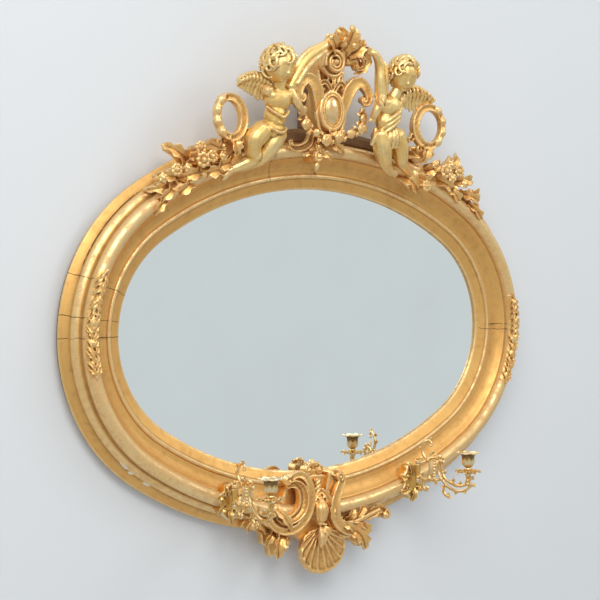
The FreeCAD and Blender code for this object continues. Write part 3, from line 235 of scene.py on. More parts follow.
def leaf(spine, width, lobes, bite=0.45, cup=0.3, thick=2.4, up=(0, 1, 0), count=44):
    """Carved acanthus leaf along (x, depth, z) spine points.

    Half width = width * sin(pi * (0.1 + 0.88 u^0.8))^0.7, bitten by the share
    bite * (1 + cos(2 pi lobes (u - 0.2 |v|))) / 2 towards its edge; lobe tips lean forward,
    the edge rises by cup, ripples follow the same phase and a groove runs up the middle.
    The back lies thick behind.
    """
    path = through(np.asarray(spine, float), count)
    along, across, outward = frames(path, up)
    u = np.linspace(0, 1, count)[:, None]
    v = np.linspace(-1, 1, 17)[None]
    edge = np.abs(v)
    phase = 2 * np.pi * lobes * (u - 0.2 * edge)
    full = np.sin(np.pi * (0.1 + 0.88 * u ** 0.8)) ** 0.7
    half = width * full * (1 - bite * (0.5 + 0.5 * np.cos(phase)) * edge ** 1.3)
    side = half * v
    front = width * full * (cup * edge ** 1.7 - 0.10 * np.cos(phase) * edge * (1.15 - edge)
                            - 0.16 * np.exp(-(v / 0.13) ** 2) + 0.05)
    lean = 0.28 * width * full * edge ** 1.5
    back = front - thick * (1.05 - edge ** 4)

    def place(height):
        return (path[:, None] + across[:, None] * side[..., None]
                + outward[:, None] * height[..., None] + along[:, None] * lean[..., None])

    return grid(np.concatenate([place(front), place(back)[:, ::-1][:, 1:-1]], 1))


def rose(centre, radius, petals, layers, rise, turn, facing=(0.0, 1.0, 0.0)):
    """Open rose: rings r = 0 ... 1 and angles a, each point at
    radius * r * (1 - 0.12 r^2 |sin(p)|) from the centre, p = petals a / 2 + pi turn.

    Height = rise * radius * (0.75 sqrt(1 - 0.9 r^2) + 0.3 (1 - frac(s))^1.5), where
    s = layers r + 0.35 |sin(p + 1.6 floor(layers r))|, so each layer of petals steps up
    behind the next; the back is closed by a flat cone.
    """
    r = np.linspace(0.02, 1, 24)[:, None]
    a = angles(48)[None]
    swing = petals * a / (2 * np.pi) + turn
    steps = layers * r + 0.35 * np.abs(np.sin(np.pi * swing + 1.6 * np.floor(layers * r)))
    out = radius * (1 - 0.12 * np.abs(np.cos(np.pi * (swing + 0.5))) * r ** 2) * r
    high = radius * rise * (0.75 * np.sqrt(1 - 0.9 * r ** 2) + 0.30 * (1 - steps % 1.0) ** 1.5)
    n = unit(rows(facing))[0]
    e1 = unit(np.cross(n, (0, 0, 1.0)))
    e2 = np.cross(e1, n)
    top = (np.asarray(centre, float) + e1 * (out * np.cos(a))[..., None]
           + e2 * (out * np.sin(a))[..., None] + n * high[..., None])
    under = (np.asarray(centre, float) + e1 * (out[-1:] * 0.5 * np.cos(a))[..., None]
             + e2 * (out[-1:] * 0.5 * np.sin(a))[..., None] - n * radius * 0.45)
    return grid(np.concatenate([top, under], 0))


def pad(outline, back, front, round_by, dome=0.0):
    """Rounded slab: a closed (x, z) outline, its edge rounded at the front.

    Each ring is the outline moved in by round_by * (1 - cos t), at the depth front -
    round_by * (1 - sin t); the face then rises by dome towards the middle.
    """
    p = through(np.asarray(outline, float), 96, True)
    middle = p.mean(0)
    tangent = unit(np.roll(p, -1, 0) - np.roll(p, 1, 0))
    inward = np.stack([-tangent[:, 1], tangent[:, 0]], 1)
    if np.sum(inward * (middle - p)) < 0:
        inward = -inward
    rings = [(0.0, back)]
    for t in (0.0, 0.5, 1.0, 1.4):
        rings.append((round_by * (1 - math.cos(t)), front - round_by * (1 - math.sin(t))))
    out = []
    for shift, depth in rings:
        q = p + inward * shift
        out.append(np.stack([q[:, 0], np.full(len(q), depth), q[:, 1]], 1))
    for share in (0.3, 0.6, 0.85):
        q = p + inward * round_by
        q = q + (middle - q) * share
        out.append(np.stack([q[:, 0], np.full(len(q), front + dome * share), q[:, 1]], 1))
    return grid(np.stack(out))


def ridge_noise(points, size, seed):
    """Smooth noise, mostly within -1 ... 1: nine sine waves of random direction and phase,
    their wavelengths about size."""
    random = np.random.default_rng(seed)
    total = np.zeros(len(points))
    for _ in range(9):
        direction = unit(random.normal(size=3)) / size * random.uniform(0.6, 1.6)
        total += np.sin(2 * np.pi * points @ direction + random.uniform(0, 6.28))
    return total / 4.0


# ---------------------------------------------------------- meshes in Blender

def outwards(points, faces):
    """Faces turned so that the enclosed volume counts positive."""
    a, b, c, d = (points[faces[:, k]] for k in range(4))
    volume = (np.einsum("ij,ij->i", a, np.cross(b, c)) + np.einsum("ij,ij->i", a, np.cross(c, d)))
    return faces if volume.sum() > 0 else faces[:, ::-1]


def to_mesh(name, parts):
    """Mesh of (points, faces) parts, from (x, depth, z) millimetres to metres."""
    done = []
    for points, faces in parts:
        points = points * rows((1, -1, 1))
        done.append((points * MM, outwards(points, faces)))
    points, faces = join(done)
    same = faces[:, 2] == faces[:, 3]
    first_same = faces[:, 0] == faces[:, 1]
    corners = np.where(same | first_same, 3, 4)
    order = np.where(first_same[:, None], faces[:, [1, 2, 3, 3]], faces)
    keep = np.ones(order.shape, bool)
    keep[:, 3] = corners == 4
    mesh = bpy.data.meshes.new(name)
    mesh.vertices.add(len(points))
    mesh.vertices.foreach_set("co", points.ravel())
    mesh.loops.add(int(corners.sum()))
    mesh.loops.foreach_set("vertex_index", order[keep])
    mesh.polygons.add(len(faces))
    mesh.polygons.foreach_set("loop_start", np.concatenate([[0], np.cumsum(corners)[:-1]]))
    mesh.update(calc_edges=True)
    mesh.validate()
    return mesh


def read(items, key, kind=np.float32, width=3):
    """One property of all vertices, normals or edges of a mesh, a row each."""
    values = np.empty(len(items) * width, kind)
    items.foreach_get(key, values)
    return values.reshape(-1, width)


def points_of(mesh):
    return read(mesh.vertices, "co").astype(float)


def normals_of(mesh):
    return read(mesh.vertex_normals, "vector").astype(float)


def edges_of(mesh):
    return read(mesh.edges, "vertices", np.int32, 2)


def move_points(mesh, points):
    mesh.vertices.foreach_set("co", points.astype(np.float32).ravel())
    mesh.update()


def record(mesh, name, values):
    """Point attribute of the mesh: one number, or a row of three, for each point."""
    kind, key = ("FLOAT", "value") if values.ndim == 1 else ("FLOAT_VECTOR", "vector")
    mesh.attributes.new(name, kind, "POINT").data.foreach_set(
        key, values.astype(np.float32).ravel())


def placed(name, data):
    """New object in the scene."""
    piece = bpy.data.objects.new(name, data)
    bpy.context.scene.collection.objects.link(piece)
    return piece


def relaxed(points, pairs, times):
    """Points averaged with their neighbours along the edges, a number of times."""
    a, b = pairs[:, 0], pairs[:, 1]
    count = np.bincount(a, minlength=len(points)) + np.bincount(b, minlength=len(points))
    count = np.maximum(count, 1)[:, None]
    for _ in range(times):
        total = np.stack([np.bincount(a, points[b, k], len(points))
                          + np.bincount(b, points[a, k], len(points))
                          for k in range(points.shape[1])], 1)
        points = 0.5 * points + 0.5 * total / count
    return points


def mark_hollows(mesh, near=6, far=40):
    """Attribute 'hollow': how far each point lies below (+) or above (-) its smoothed
    surroundings: 0.5 * fine / FINE_DIP + 0.6 * broad / BROAD_DIP, held within -1 ... 1,
    where fine is taken after near rounds of smoothing and broad after far more."""
    pairs, points, normals = edges_of(mesh), points_of(mesh), normals_of(mesh)
    once = relaxed(points, pairs, near)
    twice = relaxed(once, pairs, far)
    fine = np.einsum("ij,ij->i", once - points, normals) / (FINE_DIP * MM)
    broad = np.einsum("ij,ij->i", twice - points, normals) / (BROAD_DIP * MM)
    value = np.clip(0.5 * fine + 0.6 * broad, -1, 1)
    record(mesh, "hollow", relaxed(value[:, None], pairs, 2)[:, 0])


def finish_piece(name, mesh, material, nodes=(), body="frame"):
    """Object for a finished mesh: its material, its body and the CAD nodes it stands for."""
    mesh.materials.clear()
    mesh.materials.append(material)
    mesh.polygons.foreach_set("use_smooth", np.ones(len(mesh.polygons), bool))
    piece = placed(name, mesh)
    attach(piece, body)
    if nodes:
        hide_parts(*nodes)
    return piece


def carved(name, parts, material, nodes, voxel, soften, hammer, body="frame"):
    """Several closed forms worked into one carved skin: voxel remesh, softening, then
    shallow tool marks along the normals, hammer mm from top to bottom."""
    rough = placed(name + "_rough", to_mesh(name, parts))
    shell = rough.modifiers.new("skin", "REMESH")
    shell.mode = "VOXEL"
    shell.voxel_size = voxel * MM
    shell.use_smooth_shade = True
    bpy.context.view_layer.update()
    seen = rough.evaluated_get(bpy.context.evaluated_depsgraph_get())
    skin = bpy.data.meshes.new_from_object(seen)
    skin.name = name
    bpy.data.objects.remove(rough)
    soft = relaxed(points_of(skin), edges_of(skin), soften)
    move_points(skin, soft)
    if hammer:
        marks = ridge_noise(soft / MM, 9.0, len(name)) + 0.5 * ridge_noise(soft / MM, 4.0, 3)
        move_points(skin, soft + normals_of(skin) * (marks * hammer * 0.5 * MM)[:, None])
    mark_hollows(skin)
    return finish_piece(name, skin, material, nodes, body)


# ---------------------------------------------------------------- finishes

class Flow:
    """A shader socket whose operators add Math nodes, so that masks read as sums."""

    def __init__(self, tree, socket):
        self.tree, self.socket = tree, socket

    def _math(self, kind, *others, flip=False, clamp=False):
        values = [self, *others]
        if flip:
            values = values[::-1]
        return self.tree.node("ShaderNodeMath", {"operation": kind, "use_clamp": clamp}, *values)

    def __add__(self, other): return self._math("ADD", other)
    def __radd__(self, other): return self._math("ADD", other)
    def __sub__(self, other): return self._math("SUBTRACT", other)
    def __rsub__(self, other): return self._math("SUBTRACT", other, flip=True)
    def __mul__(self, other): return self._math("MULTIPLY", other)
    def power(self, other): return self._math("POWER", other)
    def size(self): return self._math("ABSOLUTE")
    def floor(self): return self._math("FLOOR")
    def held(self): return self._math("ADD", 0.0, clamp=True)

    def between(self, low, high):
        """0 below low, 1 above high, smooth between (or the reverse when low > high)."""
        if low > high:
            return 1.0 - self.between(high, low)
        return self.tree.node("ShaderNodeMapRange", {"interpolation_type": "SMOOTHSTEP"},
                              self, low, high, 0.0, 1.0)


class Finish:
    """A node material: node() adds any node, and the rest are short ways to common ones."""

    def __init__(self, name, holder=None):
        self.material = holder or bpy.data.materials.new(name)
        self.material.use_nodes = True
        self.tree = self.material.node_tree
        self.tree.nodes.clear()

    def node(self, kind, settings=None, *values, out=0, **named):
        """Adds a node, sets its settings, then fills its sockets in order or by name."""
        made = self.tree.nodes.new(kind)
        for key, value in (settings or {}).items():
            setattr(made, key, value)
        for key, value in list(enumerate(values)) + list(named.items()):
            socket = made.inputs[key]
            if isinstance(value, Flow):
                self.tree.links.new(value.socket, socket)
            else:
                socket.default_value = value
        return Flow(self, made.outputs[out]) if len(made.outputs) else None

    def place(self):
        return self.node("ShaderNodeTexCoord", out="Object")

    def attribute(self, name, out="Fac"):
        return self.node("ShaderNodeAttribute", {"attribute_name": name}, out=out)

    def noise(self, where, scale, detail, rough=0.55, warp=0.0):
        return self.node("ShaderNodeTexNoise", {}, Vector=where, Scale=scale, Detail=detail,
                         Roughness=rough, Distortion=warp)

    def cells(self, where, scale, out=0):
        return self.node("ShaderNodeTexVoronoi", {}, out=out, Vector=where, Scale=scale)

    def stretched(self, where, factors):
        return self.node("ShaderNodeVectorMath", {"operation": "MULTIPLY"}, where, factors)

    def parts(self, where):
        made = self.tree.nodes.new("ShaderNodeSeparateXYZ")
        self.tree.links.new(where.socket, made.inputs[0])
        return [Flow(self, made.outputs[k]) for k in range(3)]

    def mix(self, share, one, two):
        made = self.tree.nodes.new("ShaderNodeMix")
        made.data_type, made.clamp_factor = "RGBA", True
        for key, value in ((0, share), (6, one), (7, two)):
            if isinstance(value, Flow):
                self.tree.links.new(value.socket, made.inputs[key])
            else:
                made.inputs[key].default_value = value
        return Flow(self, made.outputs[2])

    def bump(self, height, strength, distance):
        return self.node("ShaderNodeBump", {}, Strength=strength, Distance=distance * MM,
                         Height=height)

    def surface(self, **sockets):
        shader = self.node("ShaderNodeBsdfPrincipled", {}, **sockets)
        self.node("ShaderNodeOutputMaterial", {}, Surface=shader)
        return self.material


def srgb(red, green, blue):
    """Colour written as 0-255 screen values, as a linear colour."""
    c = np.array([red, green, blue]) / 255.0
    lin = np.where(c <= 0.04045, c / 12.92, ((c + 0.055) / 1.055) ** 2.4)
    return (*[float(k) for k in lin], 1.0)


def gilding(name, gold, lemon, grime_and_shade, worn, burnish=0.42, dirt_and_shade=0.8, joints=(), flakes=(),
            seam=None):
    """Aged leaf on gesso: two golds in clouds, hollows darkened by soiling and painted shade,
    rubbed ridges with clay and a little gesso showing, a painted highlight of pale cream on the
    ridges, worm holes, and along a moulding also wiping streaks, cracks at the joints, one open
    seam and flaked spots."""
    f = Finish(name)
    where = f.place()
    hollow = f.attribute("hollow")
    low = hollow.between(0.12, 0.95)
    high = hollow.between(-0.15, -0.8)
    clouds = f.noise(where, 11.0, 4.0, 0.6)
    patches = f.noise(where, 55.0, 4.0, 0.65)
    fine = f.noise(where, 420.0, 3.0, 0.7)
    colour = f.mix(clouds.between(0.36, 0.64), gold, lemon)
    colour = f.mix(patches.between(0.45, 0.8) * 0.22, colour, grime_and_shade)
    # hollows darkened towards the third colour: soiling, and painted shade in the creases and
    # recesses
    colour = f.mix((low * dirt_and_shade * (0.55 + patches * 0.8)).held(), colour, grime_and_shade)
    # painted highlight: ridges lightened towards pale cream
    colour = f.mix(high * (0.20 + clouds * 0.45), colour, srgb(255, 234, 180))
    rub = (high * 0.7 + 0.24 + (patches - 0.5) * 1.5 + (fine - 0.5) * 0.9).between(
        0.98 - 0.16 * worn, 1.12 - 0.16 * worn)
    colour = f.mix(rub * (0.30 if joints else 0.5), colour, srgb(196, 136, 80))
    specks = f.cells(where, 118.0)
    pick = f.parts(f.cells(where, 118.0, out=1))[0]
    holes = specks.between(0.10, 0.05) * pick.between(0.955, 0.965)
    chips = (f.noise(where, 34.0, 5.0, 0.75) + high * 0.05).between(0.742, 0.752)
    rough = burnish + (patches - 0.5) * 0.35 + low * 0.2 - high * 0.10 + rub * 0.15
    height = fine * 0.35 + patches * 0.5 - holes * 2.0 - chips * 0.8
    if joints:
        run = f.attribute("run", "Vector")
        wipes = f.noise(f.stretched(run, (9.0, 420.0, 1.0)), 1.0, 4.0, 0.6)
        scuffs = f.noise(f.stretched(run, (26.0, 900.0, 1.0)), 1.0, 3.0, 0.7)
        colour = f.mix((wipes - 0.42).held() * 0.55, colour, srgb(170, 118, 62))
        colour = f.mix(scuffs.between(0.62, 0.72) * 0.35, colour, srgb(246, 220, 165))
        height = height + wipes * 0.5 + scuffs * 0.25
        u, v, _ = f.parts(run)
        wander = (f.noise(where, 60.0, 2.0) - 0.5) * 0.006
        broken = f.noise(where, 26.0, 2.0).between(0.40, 0.47)
        first, end, line = seam
        middle, half = 0.5 * (first + end), 0.5 * (end - first)
        gap = ((v - line + wander * 0.25).size().between(0.0016, 0.0008)
               * (u - middle).size().between(half, half * 0.9)
               * f.noise(where, 40.0, 3.0).between(0.36, 0.44))
        colour = f.mix(gap * 0.85, colour, srgb(58, 36, 20))
        height = height - gap * 1.5
        for spot in joints:
            crack = (u - spot + wander).size().between(0.0009, 0.0003) * broken
            colour = f.mix(crack * 0.8, colour, srgb(62, 38, 22))
            height = height - crack * 1.5
        for spot, line, long, wide in flakes:
            away = (((u - spot) * (1 / long)).power(2.0) + ((v - line) * (1 / wide)).power(2.0))
            bare = (1.25 + (fine - 0.5) * 2.2 + (patches - 0.5) * 3.0 - away).between(0.42, 0.5)
            chips = (chips + bare).held()
        rough = rough + (wipes - 0.5) * 0.2
    colour = f.mix(holes, colour, srgb(48, 30, 18))
    colour = f.mix(chips, colour, srgb(226, 214, 192))
    metal = (0.86 - low * 0.3 - rub * 0.5) * (1.0 - chips) * (1.0 - holes)
    return f.surface(**{"Base Color": colour, "Metallic": metal.held(),
                        "Roughness": (rough + chips * 0.3).held(), "Specular IOR Level": 0.45,
                        "Normal": f.bump(height, 0.35, 0.35)})


def cast_brass(name, gold, silver, grime_and_shade):
    """Gilt cast brass worn to a paler metal on its ridges, its hollows darkened by soiling
    and painted shade.
    """
    f = Finish(name)
    where = f.place()
    hollow = f.attribute("hollow")
    low = hollow.between(0.05, 0.8)
    high = hollow.between(-0.1, -0.7)
    patches = f.noise(where, 120.0, 4.0, 0.6)
    fine = f.noise(where, 900.0, 2.0, 0.6)
    colour = f.mix((high * 0.6 + patches * 0.6).between(0.3, 0.8), gold, silver)
    # hollows darkened towards the third colour: soiling, and painted shade
    colour = f.mix((low * 0.8 + (patches - 0.55) * 0.8).held(), colour, grime_and_shade)
    return f.surface(**{"Base Color": colour, "Metallic": 1.0,
                        "Roughness": (0.24 + patches * 0.22 + low * 0.2).held(),
                        "Normal": f.bump(fine * 0.4 + patches * 0.6, 0.25, 0.2)})


def bare_wood(name, light, dark):
    """Old softwood: growth lines along x, pores and dust."""
    f = Finish(name)
    where = f.place()
    long_way = f.stretched(where, (1.0, 9.0, 9.0))
    wave = f.noise(long_way, 9.0, 3.0, 0.5, warp=0.6)
    lines = (wave * 14.0 - (wave * 14.0).floor() - 0.5).size() * 2.0
    pores = f.noise(f.stretched(long_way, (4.0, 4.0, 4.0)), 60.0, 2.0)
    dust = f.noise(where, 6.0, 4.0)
    colour = f.mix((lines * 0.55 + pores * 0.35).held(), light, dark)
    colour = f.mix(dust.between(0.5, 0.8) * 0.5, colour, srgb(120, 108, 94))
    return f.surface(**{"Base Color": colour, "Roughness": (0.7 + pores * 0.2).held(),
                        "Specular IOR Level": 0.25,
                        "Normal": f.bump(lines * 0.4 + pores * 0.6, 0.3, 0.3)})


def silvered_glass(name):
    """Old plate mirror: even silver with a faint haze and foxing towards the edge."""
    f = Finish(name)
    where = f.place()
    haze = f.noise(where, 5.0, 3.0)
    spots = f.cells(where, 70.0)
    pick = f.parts(f.cells(where, 70.0, out=1))[1]
    x, _, z = f.parts(where)
    edge = ((x * (1 / 0.455)).power(2.0) + (z * (1 / 0.29)).power(2.0)).between(0.86, 1.02)
    fox = spots.between(0.12, 0.04) * pick.between(0.9, 0.95) * edge
    colour = f.mix((haze * 0.12 + fox * 0.8).held(), srgb(243, 246, 246), srgb(150, 140, 124))
    return f.surface(**{"Base Color": colour, "Metallic": 1.0,
                        "Roughness": (0.012 + haze * 0.02 + fox * 0.3).held()})


def dark_iron(name):
    """Dull iron with brown rust in patches."""
    f = Finish(name)
    where = f.place()
    rust = f.noise(where, 160.0, 4.0, 0.7)
    share = rust.between(0.5, 0.68)
    return f.surface(**{"Base Color": f.mix(share, srgb(78, 74, 70), srgb(118, 70, 42)),
                        "Metallic": (0.9 - share * 0.8).held(),
                        "Roughness": (0.45 + share * 0.35).held(),
                        "Normal": f.bump(rust, 0.4, 0.3)})


# ------------------------------------------------------------- the oval frame

END_X, END_R = 234.0, 218.0            # centres and radius of the end arcs of the opening
LONG_Z, LONG_R = 356.11, 644.11        # the same of its long arcs
JOIN = math.atan2(LONG_Z, END_X)
GROUND = 17                            # depth behind which the moulding is plain
PROFILE = rows(
    (-0.3, 18.7), (-0.3, 23.4), (0.2, 24), (3, 25.2), (6, 26.4), (9, 27.7), (12, 28.9),
    (15, 30.1), (18, 31.4), (20.6, 32.4), (21.6, 33.2), (21.9, 34.6), (23.1, 36.4),
    (25.1, 37.4), (27.3, 37.45), (29.3, 36.4), (30.4, 34.9), (30.8, 33.6), (31.8, 34),
    (34.5, 34.2), (37.9, 34.6), (40.8, 35.2), (43.5, 36.1), (46.2, 37.1), (48.9, 38.5),
    (51.4, 40), (53.7, 41.8), (56, 43.7), (58, 45.8), (60, 48.2), (61.8, 50.5), (63.3, 51),
    (63.4, 54.5), (63.9, 58.5), (65.6, 62.3), (68.2, 65.5), (71.7, 67.8), (75.7, 68.9),
    (79.8, 68.8), (83.7, 67.5), (87.1, 65.2), (89.7, 61.8), (91.2, 57.9), (91.5, 53.8),
    (90.6, 49.9), (91.7, 44.6), (93, 44), (95.6, 43.2), (99.3, 41.3), (102.4, 38.6),
    (104.7, 35.1), (106, 31.4), (107.3, 30.1), (112, 25.9), (117, 21.6), (121, 18.3),
    (123.4, 16.3), (123.3, 15.4), (121.3, 13.7), (117.5, 9.9), (115.5, 11.2), (112, 20),
    (104, 27.6), (96, 36), (90.3, 43), (89, 50), (89.6, 54), (84, 63.8), (77.5, 66.6),
    (70, 63.6), (66, 56), (62.5, 48.5), (52, 38.6), (42, 34), (32, 31.2), (26, 33), (22, 31),
    (10, 25.4), (2, 21.6), (2, 18.9))

# wear of the moulding, in metres along and across it
CRACKS = (0.0, 0.5902, 0.699, 1.101, 1.153, 1.1803, 1.7705, 2.352)   # each at one place along
SEAM = (0.961, 1.090, 0.1612)          # open joint: from and to along, and its line across
# bare gesso where the leaf has flaked: along, across, half length, half width
FLAKES = ((1.366, 0.157, 0.008, 0.004), (1.381, 0.160, 0.005, 0.005),
          (1.413, 0.161, 0.010, 0.004), (1.905, 0.122, 0.012, 0.003),
          (1.862, 0.127, 0.009, 0.004), (0.92, 0.155, 0.006, 0.003))


def oval(turns):
    """Points and outward directions of the opening at normal angles (radians).

    Within JOIN of the x axis the point lies on an end arc about (+-END_X, 0), otherwise on
    a long arc about (0, -+LONG_Z).
    """
    c, s = np.cos(turns), np.sin(turns)
    at_end = np.abs(c) >= math.cos(JOIN)
    x = np.where(at_end, np.sign(c) * END_X + END_R * c, LONG_R * c)
    z = np.where(at_end, END_R * s, LONG_R * s - np.sign(s) * LONG_Z)
    return np.stack([x, z], 1), np.stack([c, s], 1)


def frame_skin(name, start, material):
    """Gesso and leaf over one quarter of the frame, from its start angle on by 90 degrees.

    Point = oval(u) + w(v) * outward(u), depth d(v), for the profile (w, d); the hand-scraped
    gesso wanders by about 0.13 mm.  Attribute 'run' holds metres along and across, and
    'hollow' the depth of the profile below its smoothed line, full at 0.8 mm.
    """
    fine = np.radians(np.linspace(start, start + 90, 1200))
    line = oval(fine)[0]
    along = np.concatenate([[0], np.cumsum(np.linalg.norm(np.diff(line, axis=0), axis=1))])
    count = 170
    spots = np.linspace(0, along[-1], count)
    spots[1], spots[-2] = 0.05, along[-1] - 0.05
    line, out = oval(np.interp(spots, along, fine))
    w, d = PROFILE[:, 0], PROFILE[:, 1]
    points = np.stack([line[:, :1] + out[:, :1] * w, np.tile(d, (count, 1)),
                       line[:, 1:] + out[:, 1:] * w], -1)
    wander = ridge_noise(points.reshape(-1, 3), 34.0, 5).reshape(count, -1) * 0.13
    points[..., 1] += wander * (d > GROUND)
    mesh = to_mesh(name, [grid(points)])
    across = np.concatenate([[0], np.cumsum(np.linalg.norm(np.diff(PROFILE, axis=0), axis=1))])
    smooth = PROFILE.copy()
    for _ in range(5):
        smooth = 0.5 * smooth + 0.25 * (np.roll(smooth, 1, 0) + np.roll(smooth, -1, 0))
    normal = unit(np.roll(PROFILE, -1, 0) - np.roll(PROFILE, 1, 0)) @ rows((0, 1), (-1, 0))
    dip = np.clip(np.sum((smooth - PROFILE) * normal, 1) / 0.8, -1, 1)
    run = np.zeros((count, len(PROFILE), 3))
    run[..., 0] = (start / 90 * along[-1] + spots[:, None]) * MM
    run[..., 1] = across * MM
    run, dips = run.reshape(-1, 3), np.tile(dip, count)
    ends = len(mesh.vertices) - len(run)
    record(mesh, "run", np.vstack([run, np.zeros((ends, 3))]))
    record(mesh, "hollow", np.concatenate([dips, np.zeros(ends)]))
    return finish_piece(name, mesh, material)


def dress_node(name, material):
    """A CAD body that stays in view gets a procedural finish in its material slots."""
    piece = frame["nodes"][name]
    for holder in ([piece] if piece.type == "MESH" else list(piece.children_recursive)):
        if holder.type != "MESH":
            continue
        if not holder.material_slots:
            holder.data.materials.append(material)
        for slot in holder.material_slots:
            slot.material = material


# ------------------------------------------------------------ the crest's forms

def flipped(parts, about_x):
    """The same forms seen in a mirror standing at x = about_x."""
    out = []
    for points, faces in parts:
        points = points.copy()
        points[:, 0] = 2 * about_x - points[:, 0]
        out.append((points, faces))
    return out


def disc(x, z, radius, count):
    """Outline of a round disc in the frontal plane."""
    a = angles(count)
    return np.stack([x + radius * np.cos(a), z + radius * np.sin(a)], 1)


def oval_bead(x, depth, z, half_w, half_h, width, rise):
    """Closed moulding round an ellipse in the frontal plane."""
    a = angles(40)
    path = np.stack([x + half_w * np.cos(a), depth + 0 * a, z + half_h * np.sin(a),
                     width + 0 * a, rise + 0 * a], 1)
    return sweep(path, ROLL, closed=True, count=96)


def shield_forms():
    """Body of the shield, its oval rim, the strapwork above and the leaf below."""
    half = [(24, 387), (35, 418), (38, 450), (31, 482), (29, 512), (34, 545), (26, 566)]
    outline = [(3 + w, z) for w, z in half] + [(3 - w, z) for w, z in half[::-1]]
    parts = [pad(outline, 47.6, 82.5, 5.0, 1.5),
             oval_bead(2, 80, 443, 27.5, 37, 6.0, 13), oval_bead(2, 82, 443, 21.5, 31, 2.0, 12)]
    for s in (-1, 1):
        edge = [(3 + s * w, 79, z, h, r) for w, z, h, r in
                ((14, 392, 3, 4), (27, 405, 4, 7), (33, 424, 4.5, 8), (36, 448, 4.5, 8),
                 (32, 470, 4.5, 8), (27, 488, 4.5, 9), (28, 506, 4, 8), (31, 524, 4, 7))]
        parts.append(sweep(edge, ROLL))
        strap = [(3 + s * w, d, z, h, 8) for w, d, z, h in
                 ((2, 84, 480, 3), (8, 86, 490, 4.5), (16, 86, 499, 5), (25, 85, 499, 5),
                  (31, 84, 491, 4), (27, 85, 484, 3), (22, 86, 488, 2.5))]
        parts.append(sweep(strap, STRAP))
        parts.append(leaf([(3 + s * 4, 82, 496), (3 + s * 9, 92, 507), (3 + s * 17, 92, 518),
                           (3 + s * 25, 86, 524)], 9, 3))
    parts.append(leaf([(2, 82, 412), (2, 90, 402), (2, 92, 392), (2, 84, 384)], 12, 3))
    parts.append(leaf([(3, 82, 484), (3, 92, 494), (3, 93, 506), (3, 86, 514)], 8, 3))
    return parts


def volute_forms():
    """Round scroll at the neck of the shield, with a button eye."""
    x, z = -2, 539
    band = sweep(spiral((x, 96, z), 26.5, 8.5, 200, -2.15, (4.6, 2.6), (15, 13), 16), ROLL,
                 count=150)
    return [pad(disc(x, z, 28, 24), 76, 99, 4.0), band, egg((x, 108, z), (6, 6, 6)),
            oval_bead(x, 92, z, 27, 27, 3.5, 9)]


def crown_forms():
    """Leafy plume on top and the leaf at its right-hand side."""
    plume = ((21, (22, 92, 556), (25, 112, 574), (28, 124, 595), (28, 121, 613)),
             (18, (8, 92, 560), (-6, 112, 568), (-18, 120, 579), (-30, 113, 590)),
             (17, (38, 92, 558), (50, 110, 566), (61, 116, 576), (71, 106, 577)),
             (16, (6, 88, 560), (4, 100, 580), (3, 110, 594), (0, 108, 604)),
             (15, (44, 88, 560), (49, 100, 580), (52, 106, 592), (56, 100, 600)))
    return [leaf(spine, width, 3, 0.28, 0.4, 6) for width, *spine in plume] + [
        leaf([(24, 78, 560), (26, 80, 585), (28, 84, 604), (28, 86, 614)], 28, 4, 0.25, 0.3, 6),
        leaf([(38, 84, 556), (58, 100, 566), (76, 100, 562), (83, 94, 546), (76, 92, 530),
              (60, 88, 521)], 17, 6, 0.35, 0.4, 6),
        tube([(46, 80, 548, 12), (62, 84, 548, 12), (66, 84, 534, 9)]),
        tube([(4, 84, 564, 11), (-10, 96, 572, 9), (-22, 104, 582, 6)]),
        tube([(40, 84, 560, 11), (54, 94, 568, 9), (64, 98, 574, 6)]),
        egg((12, 112, 575), (9, 10, 8)), egg((38, 112, 574), (8, 10, 8)),
        sweep([(44, 90, 552, 4, 9), (60, 98, 556, 4.5, 10), (72, 100, 548, 4.5, 9),
               (72, 98, 534, 4, 8), (60, 96, 530, 3.5, 7), (56, 97, 539, 3, 6)], STRAP),
        tube([(22, 84, 556, 17), (24, 92, 574, 13), (26, 98, 588, 9)]),
        egg((28, 124, 606), (6, 4, 7)), egg((-24, 120, 585), (5, 4, 5)),
        egg((66, 114, 579), (5, 4, 5))]


def horn_forms():
    """C-scroll standing out at the left of the shield, curled over at its tip."""
    return [sweep([(-24, 68, 424, 5, 12), (-28, 72, 440, 8, 14), (-31, 76, 460, 12, 16),
                   (-37, 80, 482, 15, 16), (-50, 83, 499, 14, 15), (-66, 85, 503, 12, 14),
                   (-79, 87, 492, 10.5, 13), (-85, 89, 477, 9, 12), (-83, 90, 465, 7, 11),
                   (-75, 90, 461, 5.5, 9), (-70, 90, 468, 4, 8), (-74, 90, 474, 3, 7)], BROAD,
                  count=110),
            tube([(-78, 80, 470, 8), (-76, 88, 469, 8)], count=8)]


def garland_forms():
    """String of roses, buds and leaves hung under the shield."""
    heads = [(-77, 100, 439, 12, 0.1), (-68, 101, 413, 13.5, 0.4), (-43, 100, 397, 9, 0.7),
             (-17, 101, 384, 14, 0.2), (14, 101, 391, 14, 0.6), (45, 100, 399, 11, 0.9),
             (74, 100, 411, 13, 0.3), (77, 100, 431, 11, 0.5), (78, 94, 449, 7, 0.1)]
    parts = [tube([(x, 88, z, 4) for x, _, z, _, _ in heads], count=90)]
    for k, (x, depth, z, r, turn) in enumerate(heads):
        lean = 0.16 * math.sin(2.1 * k)
        parts.append(rose((x, depth - r * 0.55, z), r, 5, 3.1, 0.7, turn, (lean, 1.0, -0.12)))
        parts.append(tube([(x, 82.5, z, r * 0.5), (x, depth - 4, z, r * 0.62)], count=8))
    for k, (one, two) in enumerate(zip(heads, heads[1:])):
        mid = [(one[i] + two[i]) / 2 for i in range(3)]
        for s in (-1, 1):
            dx, dz = two[0] - one[0], two[2] - one[2]
            size = math.hypot(dx, dz)
            nx, nz = -dz / size * s, dx / size * s
            parts.append(leaf([(mid[0], 86, mid[2]), (mid[0] + 6 * nx, 93, mid[2] + 6 * nz),
                               (mid[0] + 14 * nx, 90, mid[2] + 14 * nz)], 6.5, 3, count=20))
    return parts


